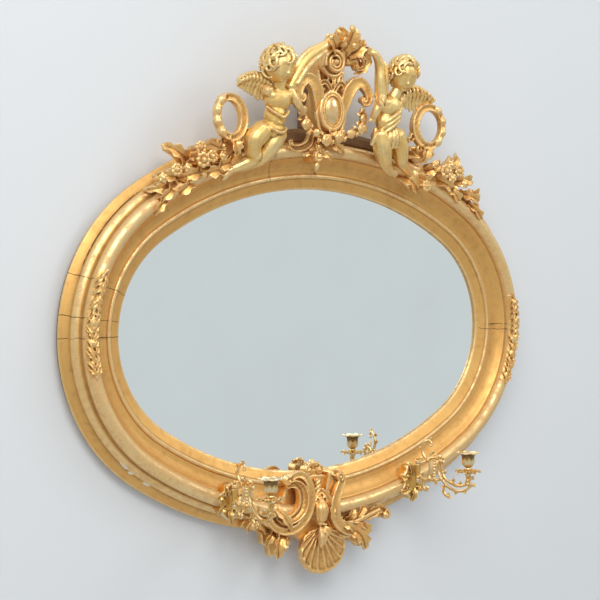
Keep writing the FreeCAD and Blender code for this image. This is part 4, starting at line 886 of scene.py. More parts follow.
def foot_forms():
    """Scrolled foot of the crest on the frame, with its drop and side leaves."""
    return [
        sweep([(-36, 66, 405, 5, 9), (-40, 66, 390, 7, 12), (-48, 67, 376, 8.5, 13),
               (-63, 67, 368, 8, 12), (-79, 67, 366, 7, 11), (-89, 68, 371, 5.5, 10),
               (-88, 68, 379, 4, 8), (-82, 69, 379, 3, 7)], STRAP),
        pad([(-44, 379), (-14, 379), (-12, 362), (-17, 346), (-28, 338), (-39, 346),
             (-43, 360)], 44, 75, 4, 2),
        sweep(spiral((-28, 80, 350), 11, 3, 100, 1.6, (3.2, 2), (9, 8)), ROLL, count=60),
        egg((-28, 86, 350), (3.5, 5, 3.5)), pad([(-40, 350), (-28, 362), (-16, 350), (-28, 338)],
                                                60, 84, 3),
        tube([(-28, 80, 341, 4), (-29, 78, 331, 6.5), (-29, 75, 321, 3)]),
        leaf([(-20, 70, 356), (-6, 82, 355), (8, 80, 349), (20, 70, 343)], 9, 4),
        leaf([(-28, 76, 384), (-30, 84, 374), (-30, 84, 364)], 9, 3),
        leaf([(0, 70, 384), (16, 82, 376), (33, 80, 366), (48, 70, 357)], 12, 4),
        leaf([(-36, 70, 362), (-48, 78, 356), (-60, 74, 352)], 7, 3)]


# -------------------------------------------------------------- the two putti

def carve_face(size):
    """Calm child's face on an egg-shaped head of the given half width, looking along +depth.

    The egg's radius gains the sum of amp * exp(-(da/sa)^2 - (de/se)^2) over soft features,
    da and de being the azimuth and elevation from each feature's centre in degrees.
    """
    features = [  # azimuth, elevation, spread in azimuth, in elevation, amount
        (19, -3, 11, 9, -0.070), (19, -5, 6.5, 4.5, 0.050), (19, 0.5, 9, 2.2, 0.018),
        (20, 9, 13, 5, 0.028), (0, -10, 4.5, 13, 0.060), (0, -22, 5.5, 5.5, 0.125),
        (6.5, -23, 3.4, 3.0, 0.045), (0, -34, 10, 2.8, 0.050), (0, -37.4, 10, 1.5, -0.055),
        (0, -41, 8, 3.0, 0.055), (0, -47, 10, 3.2, -0.035), (0, -57, 12, 8, 0.090),
        (33, -30, 14, 12, 0.070), (62, -20, 16, 22, 0.02), (0, 30, 40, 22, 0.03)]
    e = np.radians(np.linspace(-88, 88, 110))[:, None]
    a = np.radians(np.linspace(-180, 180, 190, endpoint=False))[None]
    grow = np.ones((110, 190))
    for az, el, sa, se, amount in features:
        for s in ((-1, 1) if az else (1,)):
            wide = (np.degrees(a) - s * az) * np.cos(e * 0.9)
            grow = grow + amount * np.exp(-(wide / sa) ** 2 - ((np.degrees(e) - el) / se) ** 2)
    x = np.cos(e) * np.sin(a) * 0.86
    front = np.cos(e) * np.cos(a) * (0.93 + 0.05 * (np.cos(a) < 0))
    points = np.stack([x, front, np.sin(e) * 1.04 + 0 * a], -1) * grow[..., None] * size
    return grid(points)


def curls(size, seed, flow):
    """Locks of hair: short tubes laid on the skull, each turning as it goes.

    Their roots follow a golden-angle spiral; a lock keeps clear of the face and bends to one
    side by its own random rate; flow is the direction (x, z) in which they are combed.
    """
    random = np.random.default_rng(seed)
    golden, locks = 2.39996, 120
    parts = []
    for k in range(locks):
        z = 1 - 2 * (k + 0.5) / locks
        turn = golden * k
        n = rows((math.sqrt(1 - z * z) * math.cos(turn), math.sqrt(1 - z * z) * math.sin(turn),
                  z))[0]
        if n[1] > 0.30 + 0.55 * n[2] and n[2] < 0.62 or n[2] < -0.45 - 0.25 * n[1]:
            continue
        step = unit(np.cross(n, (0.3, 1.0, 0.2)) + rows((flow[0], 0, flow[1]))[0]
                    + random.normal(0, 0.35, 3))
        spin = random.choice((-1, 1)) * random.uniform(0.15, 0.85)
        path, radius = [], random.uniform(0.10, 0.14)
        p = n.copy()
        for j in range(6):
            surface = unit(p)
            lift = 1.0 + 0.10 * math.sin(math.pi * (j + 0.7) / 6)
            path.append((*(surface * rows((0.90, 0.98, 1.06))[0] * lift * size),
                         size * radius * (1 - 0.11 * j)))
            step = unit(step - surface * np.dot(step, surface))
            p = surface + step * 0.17
            c, s = math.cos(spin), math.sin(spin)
            step = step * c + np.cross(surface, step) * s
            spin *= 1.12
        parts.append(tube(path, up=n, sides=9, count=16))
    return parts


def head_forms(centre, size, nod, lean, turn, seed, flow):
    """Head with face, ears and hair, posed about its centre."""
    parts = [carve_face(size),
             egg((0, -size * 0.10, size * 0.14), (size * 0.90, size * 0.90, size * 0.93))]
    for s in (-1, 1):
        parts.append(egg((s * size * 0.86, -size * 0.02, -size * 0.14),
                         (size * 0.10, size * 0.15, size * 0.22)))
    parts += curls(size, seed, flow)
    return [(posed(p, lean, turn, nod) + rows(centre), f) for p, f in parts]


def hand(wrist, reach, spread, size):
    """Palm and four bent fingers from the wrist along reach, fanned along spread."""
    wrist, reach, spread = (np.asarray(k, float) for k in (wrist, unit(rows(reach))[0],
                                                           unit(rows(spread))[0]))
    parts = [tube([(*wrist, size * 0.75), (*(wrist + reach * size * 0.9), size * 0.95)], 0.7)]
    for k, shift in enumerate((-0.75, -0.25, 0.25, 0.75)):
        root = wrist + reach * size * 1.3 + spread * size * shift
        tip = root + reach * size * 1.1 + spread * size * shift * 0.3 - (0, size * 0.5, 0)
        mid = (root + tip) / 2 + (0, size * 0.35, 0)
        parts.append(tube([(*root, size * 0.3), (*mid, size * 0.28), (*tip, size * 0.22)],
                          sides=8))
    thumb = wrist + reach * size * 0.6 - spread * size
    parts.append(tube([(*(wrist + reach * size * 0.2), size * 0.35), (*thumb, size * 0.3),
                       (*(thumb + reach * size * 0.7), size * 0.24)], sides=8))
    return parts


def wing_forms(rib, tips):
    """Wing: a thick leading rib, then three rows of overlapping feathers.

    Feather k runs from a point of the rib towards the k-th tip; the rows cover 100, 66 and
    38 % of that length, each a little further forward.
    """
    path, tips = through(rib, 60), through(tips, 60)
    parts = [tube([(*p, 5.4 - 0.05 * k) for k, p in enumerate(path[::6])])]
    for row, (share, count, wide) in enumerate(((1.0, 9, 8.0), (0.66, 9, 6.5), (0.38, 10, 5))):
        for k in range(count):
            t = (k + 0.5) / count
            root, tip = path[int(t * 59)], tips[int(t * 59)]
            end = root + (tip - root) * share
            mid = (root + end) / 2 + (0, 2.0 + 2.5 * row, 0)
            lift = (0, 0.9 * (k % 2) + 2.6 * row - 2, 0)
            parts.append(sweep([(*(root + lift), wide * 0.5, 3.5), (*(mid + lift), wide * 0.62, 4),
                                (*(end * 0.75 + mid * 0.25 + lift), wide * 0.55, 3.4),
                                (*(end + lift), wide * 0.18, 1.6)], ROLL, count=16))
    return parts


def putto_left():
    """The left putto: body with drapery edge, raised arm and face."""
    body = [
        egg((-142, 104, 457), (30, 21, 27), -8), egg((-148, 103, 424), (24, 20, 26)),
        egg((-154, 99, 398), (30, 21, 21), 8), egg((-155, 112, 462), (14.5, 10, 11)),
        egg((-127, 113, 464), (13.5, 10, 11)), egg((-150, 112, 416), (16, 10, 14)),
        egg((-168, 106, 472), (13, 13, 13)), egg((-112, 107, 480), (13, 13, 13)),
        tube([(-142, 108, 470, 14), (-146, 113, 490, 12), (-150, 117, 502, 12)]),
        tube([(-174, 99, 396, 21), (-192, 97, 378, 21.5), (-193, 92, 360, 17.5),
              (-187, 88, 346, 14.5), (-192, 82, 336, 13), (-206, 75, 328, 11.5),
              (-222, 69, 321, 8.5), (-232, 66, 316, 8)]),
        egg((-185, 96, 346), (10, 9, 10)),
        tube([(-231, 66, 315, 8), (-238, 63, 306, 7), (-241, 60, 300, 4.5)]),
        tube([(-138, 98, 392, 20), (-150, 96, 370, 19), (-163, 90, 350, 15),
              (-172, 85, 339, 12.5), (-190, 74, 329, 10), (-206, 68, 322, 8)]),
        egg((-168, 92, 342), (10, 9, 9)),
        tube([(-118, 109, 474, 11.5), (-108, 113, 458, 10), (-98, 113, 446, 8.5),
              (-90, 109, 440, 7)]),
        sweep([(-172, 108, 440, 2.6, 4), (-163, 118, 430, 3, 5), (-150, 123, 423, 3, 5),
               (-144, 124, 420, 3, 5), (-136, 122, 424, 3, 5), (-124, 116, 434, 2.6, 4)], ROLL),
        sweep([(-176, 104, 410, 2.5, 4), (-164, 116, 398, 3, 5), (-150, 119, 391, 3, 5),
               (-136, 116, 393, 3, 5), (-124, 108, 402, 2.5, 4)], ROLL),
        egg((-149, 124, 409), (2.2, 2.5, 2.2))]
    body += hand((-92, 110, 441), (1, 0.1, -0.25), (0, 0.5, 1), 6.5)
    arm = [tube([(-116, 108, 482, 13.5), (-100, 111, 510, 13), (-82, 112, 534, 12.5),
                 (-62, 114, 552, 11.5), (-44, 116, 563, 9.5), (-35, 117, 569, 7.5)]),
           tube([(-106, 121, 488, 4.5), (-88, 124, 516, 5.5), (-68, 124, 536, 5.5),
                 (-46, 124, 551, 4.5), (-36, 122, 557, 3.5)]),
           tube([(-114, 106, 500, 6), (-99, 112, 530, 6.5), (-78, 116, 553, 6),
                 (-54, 118, 566, 5), (-38, 118, 574, 4)])]
    arm += hand((-38, 117, 568), (1, 0.15, 0.75), (0.6, 0.3, -0.8), 7)
    head = head_forms((-152, 121, 522), 34.5, -10, 7, -14, 4, (0.5, -0.5))
    wing = wing_forms([(-158, 98, 488), (-172, 95, 501), (-192, 92, 505), (-212, 89, 498),
                       (-226, 86, 487)],
                      [(-162, 96, 458), (-176, 92, 452), (-190, 90, 459), (-206, 88, 468),
                       (-226, 85, 480)])
    return body, arm, head, wing


def putto_right():
    """The right putto: body in a short skirt, raised arm and face."""
    body = [
        egg((137, 105, 458), (30, 21, 27), 6), egg((131, 103, 428), (25, 20, 26)),
        egg((138, 99, 402), (31, 21, 21), -6), egg((124, 114, 464), (13.5, 10, 11)),
        egg((151, 113, 462), (14, 10, 11)), egg((130, 113, 420), (16, 10, 13)),
        egg((112, 107, 480), (13, 13, 13)), egg((166, 106, 472), (13, 13, 13)),
        tube([(140, 108, 470, 14), (150, 113, 490, 12), (156, 117, 502, 12)]),
        tube([(118, 99, 400, 20), (124, 99, 374, 20), (136, 92, 350, 16), (144, 86, 340, 13),
              (160, 78, 330, 11), (178, 73, 324, 9)]),
        egg((139, 93, 344), (10, 10, 10)),
        tube([(160, 99, 400, 21), (172, 97, 376, 19), (180, 92, 356, 15.5), (190, 84, 345, 13),
              (208, 75, 336, 11), (224, 68, 327, 9), (234, 65, 320, 8)]),
        egg((181, 93, 352), (10, 9, 9)),
        tube([(232, 66, 321, 8), (240, 63, 313, 6.5), (243, 60, 307, 4.5)]),
        tube([(112, 111, 476, 11.5), (101, 117, 462, 10.5), (94, 118, 448, 9),
              (90, 112, 434, 7.5)]),
        sweep([(104, 112, 470, 4, 6), (96, 122, 464, 5, 8), (98, 125, 456, 5, 8),
               (106, 122, 450, 4, 6)], ROLL)]
    for s in np.linspace(-1, 1, 9):
        x = 138 + 33 * s
        body.append(tube([(x, 114 - 14 * s * s, 412, 4), (x + 3 * s, 118 - 16 * s * s, 394, 5.5),
                          (x + 7 * s, 114 - 18 * s * s, 374 + 6 * s * s, 5)], sides=10))
    for k in range(3):
        shift = 9 * k
        body.append(tube([(166 - shift * 0.4, 112, 462 - shift, 3), (148, 125 - k, 446 - shift, 4),
                          (126 + shift * 0.2, 122 - k, 430 - shift, 4),
                          (112, 110, 418 - shift, 3)], sides=9))
    body += hand((92, 111, 438), (-0.4, 0.1, -1), (1, 0.4, 0), 6.5)
    arm = [tube([(113, 108, 482, 13.5), (109, 111, 510, 12.5), (107, 112, 534, 11),
                 (101, 114, 550, 9.5), (93, 115, 560, 8), (88, 114, 564, 7)]),
           tube([(121, 115, 486, 5), (119, 119, 512, 5.5), (116, 120, 534, 4.5),
                 (110, 119, 546, 3.5)]),
           tube([(124, 106, 492, 5), (123, 108, 520, 5.5), (119, 110, 540, 4)])]
    arm += hand((90, 114, 563), (-1, -0.1, 0.35), (0.2, 0.5, 1), 7)
    head = head_forms((160, 121, 524), 34, -16, 8, 8, 9, (-0.3, 0.6))
    wing = wing_forms([(170, 98, 486), (186, 95, 499), (208, 92, 505), (236, 89, 501),
                       (258, 87, 490), (271, 85, 478)],
                      [(180, 96, 462), (204, 92, 452), (222, 90, 457), (244, 88, 466),
                       (270, 85, 472)])
    return body, arm, head, wing


# ------------------------------------------------------- rings, sprays, reliefs

RINGS = {"left": (-243, 418, 37, 46, -8), "right": (256, 424, 44, 48, 8)}


def ring_forms(name):
    """C-scroll ring beside a putto: a broad band, four lobed knobs outside, a leafy foot."""
    side = SIDES[name]
    x, z, half_w, half_h, lean = RINGS[name]
    roll = math.radians(lean)

    def spot(angle, inset):
        a = math.radians(angle)
        u, w = (half_w - inset) * math.cos(a), (half_h - inset) * math.sin(a)
        return (x + u * math.cos(roll) + w * math.sin(roll),
                z - u * math.sin(roll) + w * math.cos(roll))

    ring = []
    for angle in range(0, 360, 15):
        px, pz = spot(angle, 7.2)
        wide = 8.0 + 1.6 * math.cos(math.radians(angle - (180 if side > 0 else 0)))
        ring.append((px, 82, pz, wide, 15))
    parts = [sweep(ring, BROAD, closed=True, count=130)]
    out = 0 if side > 0 else 180
    for angle in (58, 24, -8, -40):
        for step, r in ((-9, 7.0), (0, 9.5), (9, 7.5)):
            px, pz = spot(out + side * (angle + step), 5.5)
            parts.append(egg((px, 91, pz), (r, r * 0.95, r)))
    rx = x - side * 8
    low = z - half_h

    def at_foot(*places):
        return [(rx + side * u, depth, low + v) for u, depth, v in places]

    parts += [
        pad([(rx - 20, low + 6), (rx + 20, low + 6), (rx + 15, low - 20), (rx, low - 28),
             (rx - 15, low - 20)], 20, 66, 5, 2),
        leaf(at_foot((14, 24, -2), (24, 46, -4), (25, 68, -10), (17, 88, -16)), 15, 3,
             up=(side, 0.0, 0.4)),
        leaf(at_foot((-14, 24, -2), (-22, 46, -6), (-20, 70, -12), (-12, 86, -18)), 13, 3,
             up=(-side, 0.0, 0.4)),
        leaf([(rx + 4, 78, low + 12), (rx, 94, low), (rx - side * 4, 96, low - 16),
              (rx - side * 8, 84, low - 30)], 17, 4),
        leaf(at_foot((14, 74, 6), (22, 84, -6), (26, 76, -18)), 10, 3),
        sweep([(x - side * (half_w - 4), 80, z - 14, 5, 10),
               (x - side * (half_w + 1), 82, z - 26, 6, 11),
               (x - side * (half_w + 10), 84, z - 32, 5, 10)], STRAP),
        sweep(spiral((rx - side * 16, 84, low + 2), 10, 3, 90, side * -1.3, (3.5, 2), (9, 8)),
              ROLL, count=50)]
    return parts


LEAVES = {
    "left": [(-212, 338, 196, 60, 26), (-240, 322, 196, 56, 26), (-262, 330, 168, 60, 26),
             (-290, 318, 200, 60, 26), (-318, 330, 150, 66, 28), (-312, 300, 222, 54, 24),
             (-340, 300, 176, 56, 24), (-356, 286, 222, 52, 22), (-372, 268, 236, 50, 20),
             (-360, 284, 190, 56, 20)],
    "right": [(208, 326, -42, 62, 34), (236, 316, -8, 58, 26), (262, 328, 24, 60, 26),
              (296, 318, -30, 58, 26), (318, 330, 42, 66, 26), (330, 304, -48, 58, 24),
              (348, 312, 6, 62, 24), (372, 290, -26, 58, 22), (392, 272, -48, 66, 20),
              (384, 286, 6, 46, 20)],
}
FLOWERS = {
    "left": [(-306, 334, 96, 15), (-310, 358, 92, 12), (-282, 342, 90, 12), (-360, 314, 88, 12),
             (-386, 298, 82, 10), (-332, 318, 84, 10), (-254, 344, 86, 10)],
    "right": [(304, 332, 96, 15), (326, 346, 88, 11), (350, 334, 86, 13), (282, 346, 86, 10),
              (326, 318, 90, 11), (372, 308, 80, 10), (256, 300, 88, 12)],
}


def spray_forms(name):
    """Leaves of a spray, each rising from the moulding and curling over at its tip."""
    side = SIDES[name]
    parts = []
    for k, (x, z, angle, length, width) in enumerate(LEAVES[name]):
        a = math.radians(angle)
        c, s = math.cos(a), math.sin(a)
        top = 66 + 2 * (k % 4)
        base = 46 + 2 * (k % 3)
        parts.append(leaf([(x, base, z), (x + 0.3 * length * c, top + 4, z + 0.3 * length * s),
                           (x + 0.7 * length * c, top + 5, z + 0.7 * length * s),
                           (x + 1.0 * length * c, top - 14, z + 1.0 * length * s)],
                          width * 0.62, 4, 0.5, 0.35, 6.0))
        parts.append(tube([(x + 0.1 * length * c, base - 8, z + 0.1 * length * s, 7),
                           (x + 0.5 * length * c, base + 4, z + 0.5 * length * s, 8),
                           (x + 0.8 * length * c, base - 6, z + 0.8 * length * s, 5)]))
    parts.append(tube([(side * 204, 58, 346, 11), (side * 262, 54, 330, 12),
                       (side * 316, 50, 308, 12), (side * 360, 44, 284, 9),
                       (side * 392, 36, 262, 6)]))
    return parts


def flower_forms(name):
    """Daisies of round petals about a button, lying in a spray."""
    parts = []
    for k, (x, z, front, r) in enumerate(FLOWERS[name]):
        petals, grown = (8, 1.15) if r > 11 else (6, 1.05)
        parts.append(egg((x, front, z), (0.36 * r, 0.36 * r, 0.36 * r)))
        parts.append(egg((x, front - 0.5 * r, z), (0.8 * r, 0.5 * r, 0.8 * r)))
        for j in range(petals):
            a = 2 * math.pi * (j + 0.17 * k) / petals
            wide = 2.2 * grown * r / petals
            parts.append(egg((x + 0.68 * grown * r * math.cos(a), front - 0.22 * r,
                              z + 0.68 * grown * r * math.sin(a)), (wide, 0.24 * r, wide)))
        parts.append(tube([(x, 48, z - 2, r * 0.5), (x, front - 6, z, r * 0.5)], count=10))
    return parts


def relief_forms(name):
    """Garland laid over the torus at one end of the oval: a stem on a thin ground, pairs of
    leaves of random length and slant, and five roses.

    spot() gives the point at degrees along and w across the moulding, lifted off the round
    of the torus: depth = axis_depth + sqrt(15^2 - (w - axis)^2) + lift.
    """
    axis, axis_depth = 77.5, 55
    side = SIDES[name]
    tilt = 5.7 if side < 0 else -6.3
    draw = np.random.default_rng(61 if side < 0 else 62)

    def spot(degrees, w, lift):
        a = math.radians(degrees + tilt)
        line, out = oval(np.array([a if side > 0 else math.pi - a]))
        high = axis_depth + math.sqrt(max(15.0 ** 2 - (w - axis) ** 2, 4.0)) + lift
        return line[0, 0] + out[0, 0] * w, high, line[0, 1] + out[0, 1] * w

    parts = []
    stem = [spot(v, axis + 4 * math.sin(v * 0.5), 1.0) + (2.6,) for v in range(-20, 21, 2)]
    parts.append(tube(stem, sides=10, count=90))
    skin = [[spot(v, w, -0.6) for w in np.linspace(63.5, 91.5, 15)]
            + [spot(v, w, -3.6) for w in np.linspace(90.5, 64.5, 15)]
            for v in np.linspace(-19.5, 19.5, 40)]
    parts.append(grid(np.array(skin)))
    for v in np.arange(-19.0, 19.5, 2.6):
        for lean in (-1, 1):
            start = v + draw.uniform(-0.6, 0.6)
            reach = draw.uniform(9.0, 12.5)
            ahead = draw.uniform(2.2, 3.8) * (1 if v < 0 else -1)
            parts.append(leaf([spot(start, axis + lean, 0.0),
                               spot(start + 0.4 * ahead, axis + lean * 0.45 * reach, 3.6),
                               spot(start + 0.8 * ahead, axis + lean * 0.85 * reach, 3.0),
                               spot(start + ahead, axis + lean * 1.1 * reach, 0.4)],
                              draw.uniform(4.6, 6.2), 3, 0.5, 0.4, 2.2, count=24))
    for v, w, size in ((0, axis, 10.5), (7.2, 80, 6.5), (-7.0, 75, 6.5), (13.4, 76, 5.5),
                       (-13.6, 79, 5.5)):
        parts.append(rose(spot(v, w, -0.5), size, 5, 2.4, 0.55, 0.3 * v))
    return parts


# -------------------------------------------------------------- the console

def cap_forms():
    """Small Ionic cap over the console: two volutes, a ball and a band."""
    parts = [tube([(-13, 40, -268, 5.5), (-13, 40, -276, 6.5), (-13, 38, -288, 6)]),
             egg((-13, 40, -269), (6.5, 6.5, 6.5)),
             pad([(-28, -285), (2, -285), (4, -299), (-30, -299)], 30, 47, 2.5)]
    for x, s in ((-25, 1), (1, -1)):
        parts.append(pad(disc(x, -285, 10, 18), 27, 46, 2.5))
        parts.append(sweep(spiral((x, 44, -285), 9.6, 2.6, 90, s * 1.7, (2.6, 1.5), (7, 6)),
                           ROLL, count=60))
        parts.append(egg((x, 51, -285), (2.6, 3, 2.6)))
    for k in range(5):
        parts.append(leaf([(-13, 42, -276), (-13 + 5 * (k - 2), 47, -272),
                           (-13 + 8 * (k - 2), 44, -266 - abs(k - 2))], 4.5, 2, count=16))
    return parts


def stem_forms():
    """Stem of three twisted strands, a bud between five ribs and two side leaves."""
    parts = [tube([(-13, 56, -302, 5.5), (-13, 60, -326, 6.5), (-13, 64, -340, 7.5)])]
    for k in range(3):
        turn = 2.094 * k
        strand = []
        for j in range(13):
            a = turn + 0.75 * j
            z = -302 - 2.9 * j
            strand.append((-13 + 4.6 * math.cos(a), 59 + 0.25 * j + 4.2 * math.sin(a), z, 3.2))
        parts.append(tube(strand, sides=9, count=60))
    parts += [tube([(-13, 66, -338, 6), (-13, 72, -350, 11), (-14, 74, -364, 12.5),
                    (-15, 74, -378, 9.5), (-15, 73, -390, 6)]),
              egg((-13, 66, -338), (8.5, 8.5, 3))]
    for k in range(5):
        a = math.radians(-70 + 35 * k)
        x, d = math.sin(a), math.cos(a)
        parts.append(sweep([(-13 + 6 * x, 66 + 6 * d, -342, 3, 3),
                            (-14 + 12 * x, 72 + 12 * d, -354, 4.5, 3.5),
                            (-14 + 12.5 * x, 73 + 12.5 * d, -368, 4.5, 3.5),
                            (-15 + 8 * x, 74 + 9 * d, -384, 2, 3)], ROLL, up=(x, d, 0)))
    for s in (-1, 1):
        parts.append(leaf([(-13 + 4 * s, 62, -322), (-13 + 15 * s, 71, -334),
                           (-13 + 22 * s, 72, -350), (-13 + 24 * s, 66, -362)], 10, 4))
    return parts


def left_scroll_forms():
    """Deep C-shaped cartouche: a broad rim curled in at both ends, with a hollow sweep
    beside it and a leaf over its lower bend."""
    rim = [(-88, 58, -300, 5, 9), (-78, 60, -290, 6.5, 10), (-60, 62, -288, 7.5, 11),
           (-46, 64, -300, 8, 12), (-39, 66, -320, 8.5, 12), (-38, 66, -342, 9, 12),
           (-45, 66, -366, 9, 12), (-60, 65, -385, 9, 12), (-82, 64, -397, 8.5, 12),
           (-106, 62, -397, 8, 11), (-126, 60, -386, 7, 10), (-134, 58, -370, 6, 9),
           (-128, 58, -360, 4.5, 8), (-119, 60, -362, 3.5, 7)]
    hollow = [(-94, -292), (-64, -286), (-42, -300), (-34, -340), (-43, -380), (-76, -402),
              (-114, -396), (-136, -372), (-128, -358), (-112, -368), (-88, -377), (-66, -364),
              (-57, -336), (-64, -312), (-90, -304)]
    parts = [pad(hollow, 40.5, 56, 3.0), sweep(rim, BROAD, count=150),
             sweep(spiral((-89, 58, -299), 9.5, 3, 60, 1.3, (4, 2.4), (13, 10)), ROLL, count=50),
             egg((-89, 71, -299), (3.4, 4, 3.4)),
             sweep([(-92, 60, -309, 4, 10), (-76, 62, -305, 8, 13), (-62, 63, -316, 11, 15),
                    (-58, 64, -338, 12.5, 16), (-64, 64, -358, 12.5, 16),
                    (-80, 63, -372, 11, 15), (-102, 61, -377, 8, 13),
                    (-116, 60, -371, 4, 9)], HOLLOW, count=120),
             leaf([(-124, 60, -344), (-114, 78, -360), (-101, 83, -379), (-86, 74, -397)], 12, 4,
                  0.35, 0.35, 5)]
    return parts


def right_limb_forms():
    """Broad limb with two leaves, falling from the cap and sweeping out to the right."""
    line = [(24, 56, -290, 7, 10), (38, 58, -296, 9, 12), (42, 60, -310, 10, 13),
            (32, 62, -330, 11, 13.5), (23, 64, -350, 11.5, 14), (23, 64, -374, 12, 14),
            (33, 62, -394, 12, 13.5), (50, 60, -408, 10.5, 12.5), (68, 58, -416, 9, 11),
            (80, 56, -420, 5, 9)]
    outline = [(18, -287), (40, -291), (49, -304), (43, -322), (31, -346), (33, -374),
               (47, -396), (77, -409), (82, -423), (66, -430), (38, -423), (15, -396),
               (7, -364), (7, -330), (13, -304)]
    return [pad(outline, 36.5, 62, 4), sweep(line, BROAD, count=120),
            leaf([(20, 68, -350), (14, 76, -366), (16, 76, -384), (26, 68, -398)], 9, 4),
            leaf([(44, 60, -394), (58, 74, -402), (72, 72, -412), (82, 62, -424)], 11, 4),
            sweep(spiral((36, 62, -300), 10, 3, -60, 1.4, (4, 2.4), (12, 10)), ROLL, count=50),
            egg((36, 75, -300), (3.2, 3, 3.2))]


def shell_forms():
    """Scallop: a low dome of hollow flutes between thin ribs, with a rolled, lobed rim.

    Row t, within +-reach, runs from the hinge H to the rim C + R * lobe(p) * (sin t, -cos t),
    r = 0 ... 1.  Depth = 56 + 11 sin(pi r^0.8)^0.8 + rib(p) - flute(p) + roll(r), where the
    phase p = (t - 0.5 (r - 0.6)) / 0.42 lets the ribs swing round as they run out.
    """
    hinge, centre, radius = (rows(k)[0] for k in ((-6.0, -398.0), (3.0, -446.0), (59.0, 53.0)))
    reach = 2.42
    r = np.linspace(0.04, 1, 40)[None]
    t = np.linspace(-reach, reach, 180)[:, None]
    phase = (t - 0.5 * (r - 0.6)) / 0.42
    near = phase - np.round(phase)
    grown = np.clip((r - 0.10) / 0.4, 0, 1)
    depth = (56 + 11 * np.sin(np.pi * r ** 0.8) ** 0.8
             + grown * (2.5 * np.exp(-(near / 0.13) ** 2)
                        - 1.5 * (1 - 4 * (np.abs(near) - 0.5) ** 2))
             + 3.2 * np.exp(-((r - 0.95) / 0.045) ** 2) - 5.0 * np.clip((r - 0.96) / 0.04, 0, 1))
    lobes = 0.965 + 0.045 * (1 - 4 * (np.abs(near[:, -1:]) - 0.5) ** 2)
    rim = centre + radius * lobes * np.concatenate([np.sin(t), -np.cos(t)], 1)
    flat = hinge + r[..., None] * (rim - hinge)[:, None]
    front = np.stack([flat[..., 0], depth, flat[..., 1]], -1)
    under = front[:, ::-6].copy()
    under[..., 1] = 50.5
    parts = [grid(np.concatenate([front, under], 1))]
    for turn, long in ((-0.55, 30), (0.0, 46), (0.55, 30)):
        c, s = math.sin(turn), math.cos(turn)
        parts.append(leaf([(-6, 64, -394), (-6 + 0.35 * long * c, 74, -394 - 0.35 * long * s),
                           (-6 + 0.75 * long * c, 76, -394 - 0.75 * long * s),
                           (-6 + long * c, 68, -394 - long * s)], 8.5, 2, 0.3, 0.15, 4))
    parts.append(leaf([(-6, 60, -400), (-8, 70, -394), (-6, 66, -388)], 14, 3))
    return parts


def acanthus(outline, tip, others):
    """A ground of the given outline, a long leaf down to the tip, and smaller leaves, each
    (width, lobes, bite, cup, spine)."""
    return ([pad(outline, 22.5, 40, 4), leaf(tip, 21, 5, 0.5, 0.4, 6)]
            + [leaf(spine, *shape, 5) for *shape, spine in others])


def acanthus_left_forms():
    """Leaves sweeping down to the left of the shell, with a drop leaf on the outside."""
    return acanthus(
        [(-96, -398), (-112, -394), (-126, -400), (-150, -384), (-164, -370), (-180, -374),
         (-184, -387), (-170, -392), (-156, -394), (-138, -404), (-134, -424), (-120, -432),
         (-117, -450), (-106, -453), (-99, -438), (-86, -428), (-82, -412), (-86, -402)],
        [(-92, 46, -398), (-106, 64, -410), (-114, 68, -430), (-108, 58, -454)],
        [(12, 3, 0.45, 0.4, [(-88, 46, -404), (-92, 60, -420), (-90, 58, -434)]),
         (13, 4, 0.45, 0.4, [(-108, 44, -398), (-124, 60, -404), (-134, 58, -418),
                             (-130, 46, -430)]),
         (14, 4, 0.45, 0.35, [(-120, 44, -398), (-142, 60, -388), (-160, 62, -374),
                              (-176, 52, -370)]),
         (12, 4, 0.4, 0.4, [(-160, 46, -370), (-174, 62, -374), (-180, 60, -386),
                            (-174, 46, -396)])]) + [
        sweep([(-98, 52, -396, 4, 9), (-118, 56, -392, 5, 9), (-142, 58, -380, 4.5, 9),
               (-158, 58, -368, 4, 8), (-168, 56, -366, 3, 7)], ROLL)]


def acanthus_right_forms():
    """Leaves to the right of the shell, the outer one curled over."""
    return acanthus(
        [(60, -402), (71, -382), (79, -367), (92, -374), (104, -365), (119, -365), (126, -376),
         (146, -373), (164, -378), (175, -392), (168, -402), (154, -398), (138, -394),
         (128, -404), (130, -418), (120, -428), (122, -446), (112, -457), (99, -448),
         (87, -442), (78, -428)],
        [(66, 46, -404), (84, 64, -416), (100, 68, -434), (114, 58, -460)],
        [(13, 4, 0.45, 0.4, [(64, 48, -398), (72, 64, -384), (80, 60, -366)]),
         (13, 4, 0.45, 0.4, [(76, 46, -398), (94, 62, -384), (106, 60, -368),
                             (118, 48, -360)]),
         (14, 4, 0.45, 0.4, [(84, 46, -406), (106, 62, -410), (120, 60, -420),
                             (128, 48, -432)]),
         (15, 5, 0.45, 0.35, [(96, 44, -398), (124, 62, -384), (148, 64, -376),
                              (166, 56, -384)])]) + [
        sweep(spiral((164, 56, -391), 11, 3, 100, -1.4, (4.2, 2.4), (12, 10)), ROLL, count=60),
        egg((164, 68, -391), (3.4, 3, 3.4)),
        sweep([(62, 54, -400, 4, 9), (90, 58, -396, 5, 9), (120, 60, -386, 5, 9),
               (146, 60, -378, 4.5, 9)], ROLL)]


# ----------------------------------------------------------------- candle arms

# millimetres, and degrees outwards at rest
PIN_X, PIN_DEPTH = 232.0, 87.0
PAN_REACH = 128.0                      # from the pin to the axis of pan and cup
ARM_Z = {"left": -313.0, "right": -302.0}
SPLAY = {"left": 2.0, "right": 13.0}


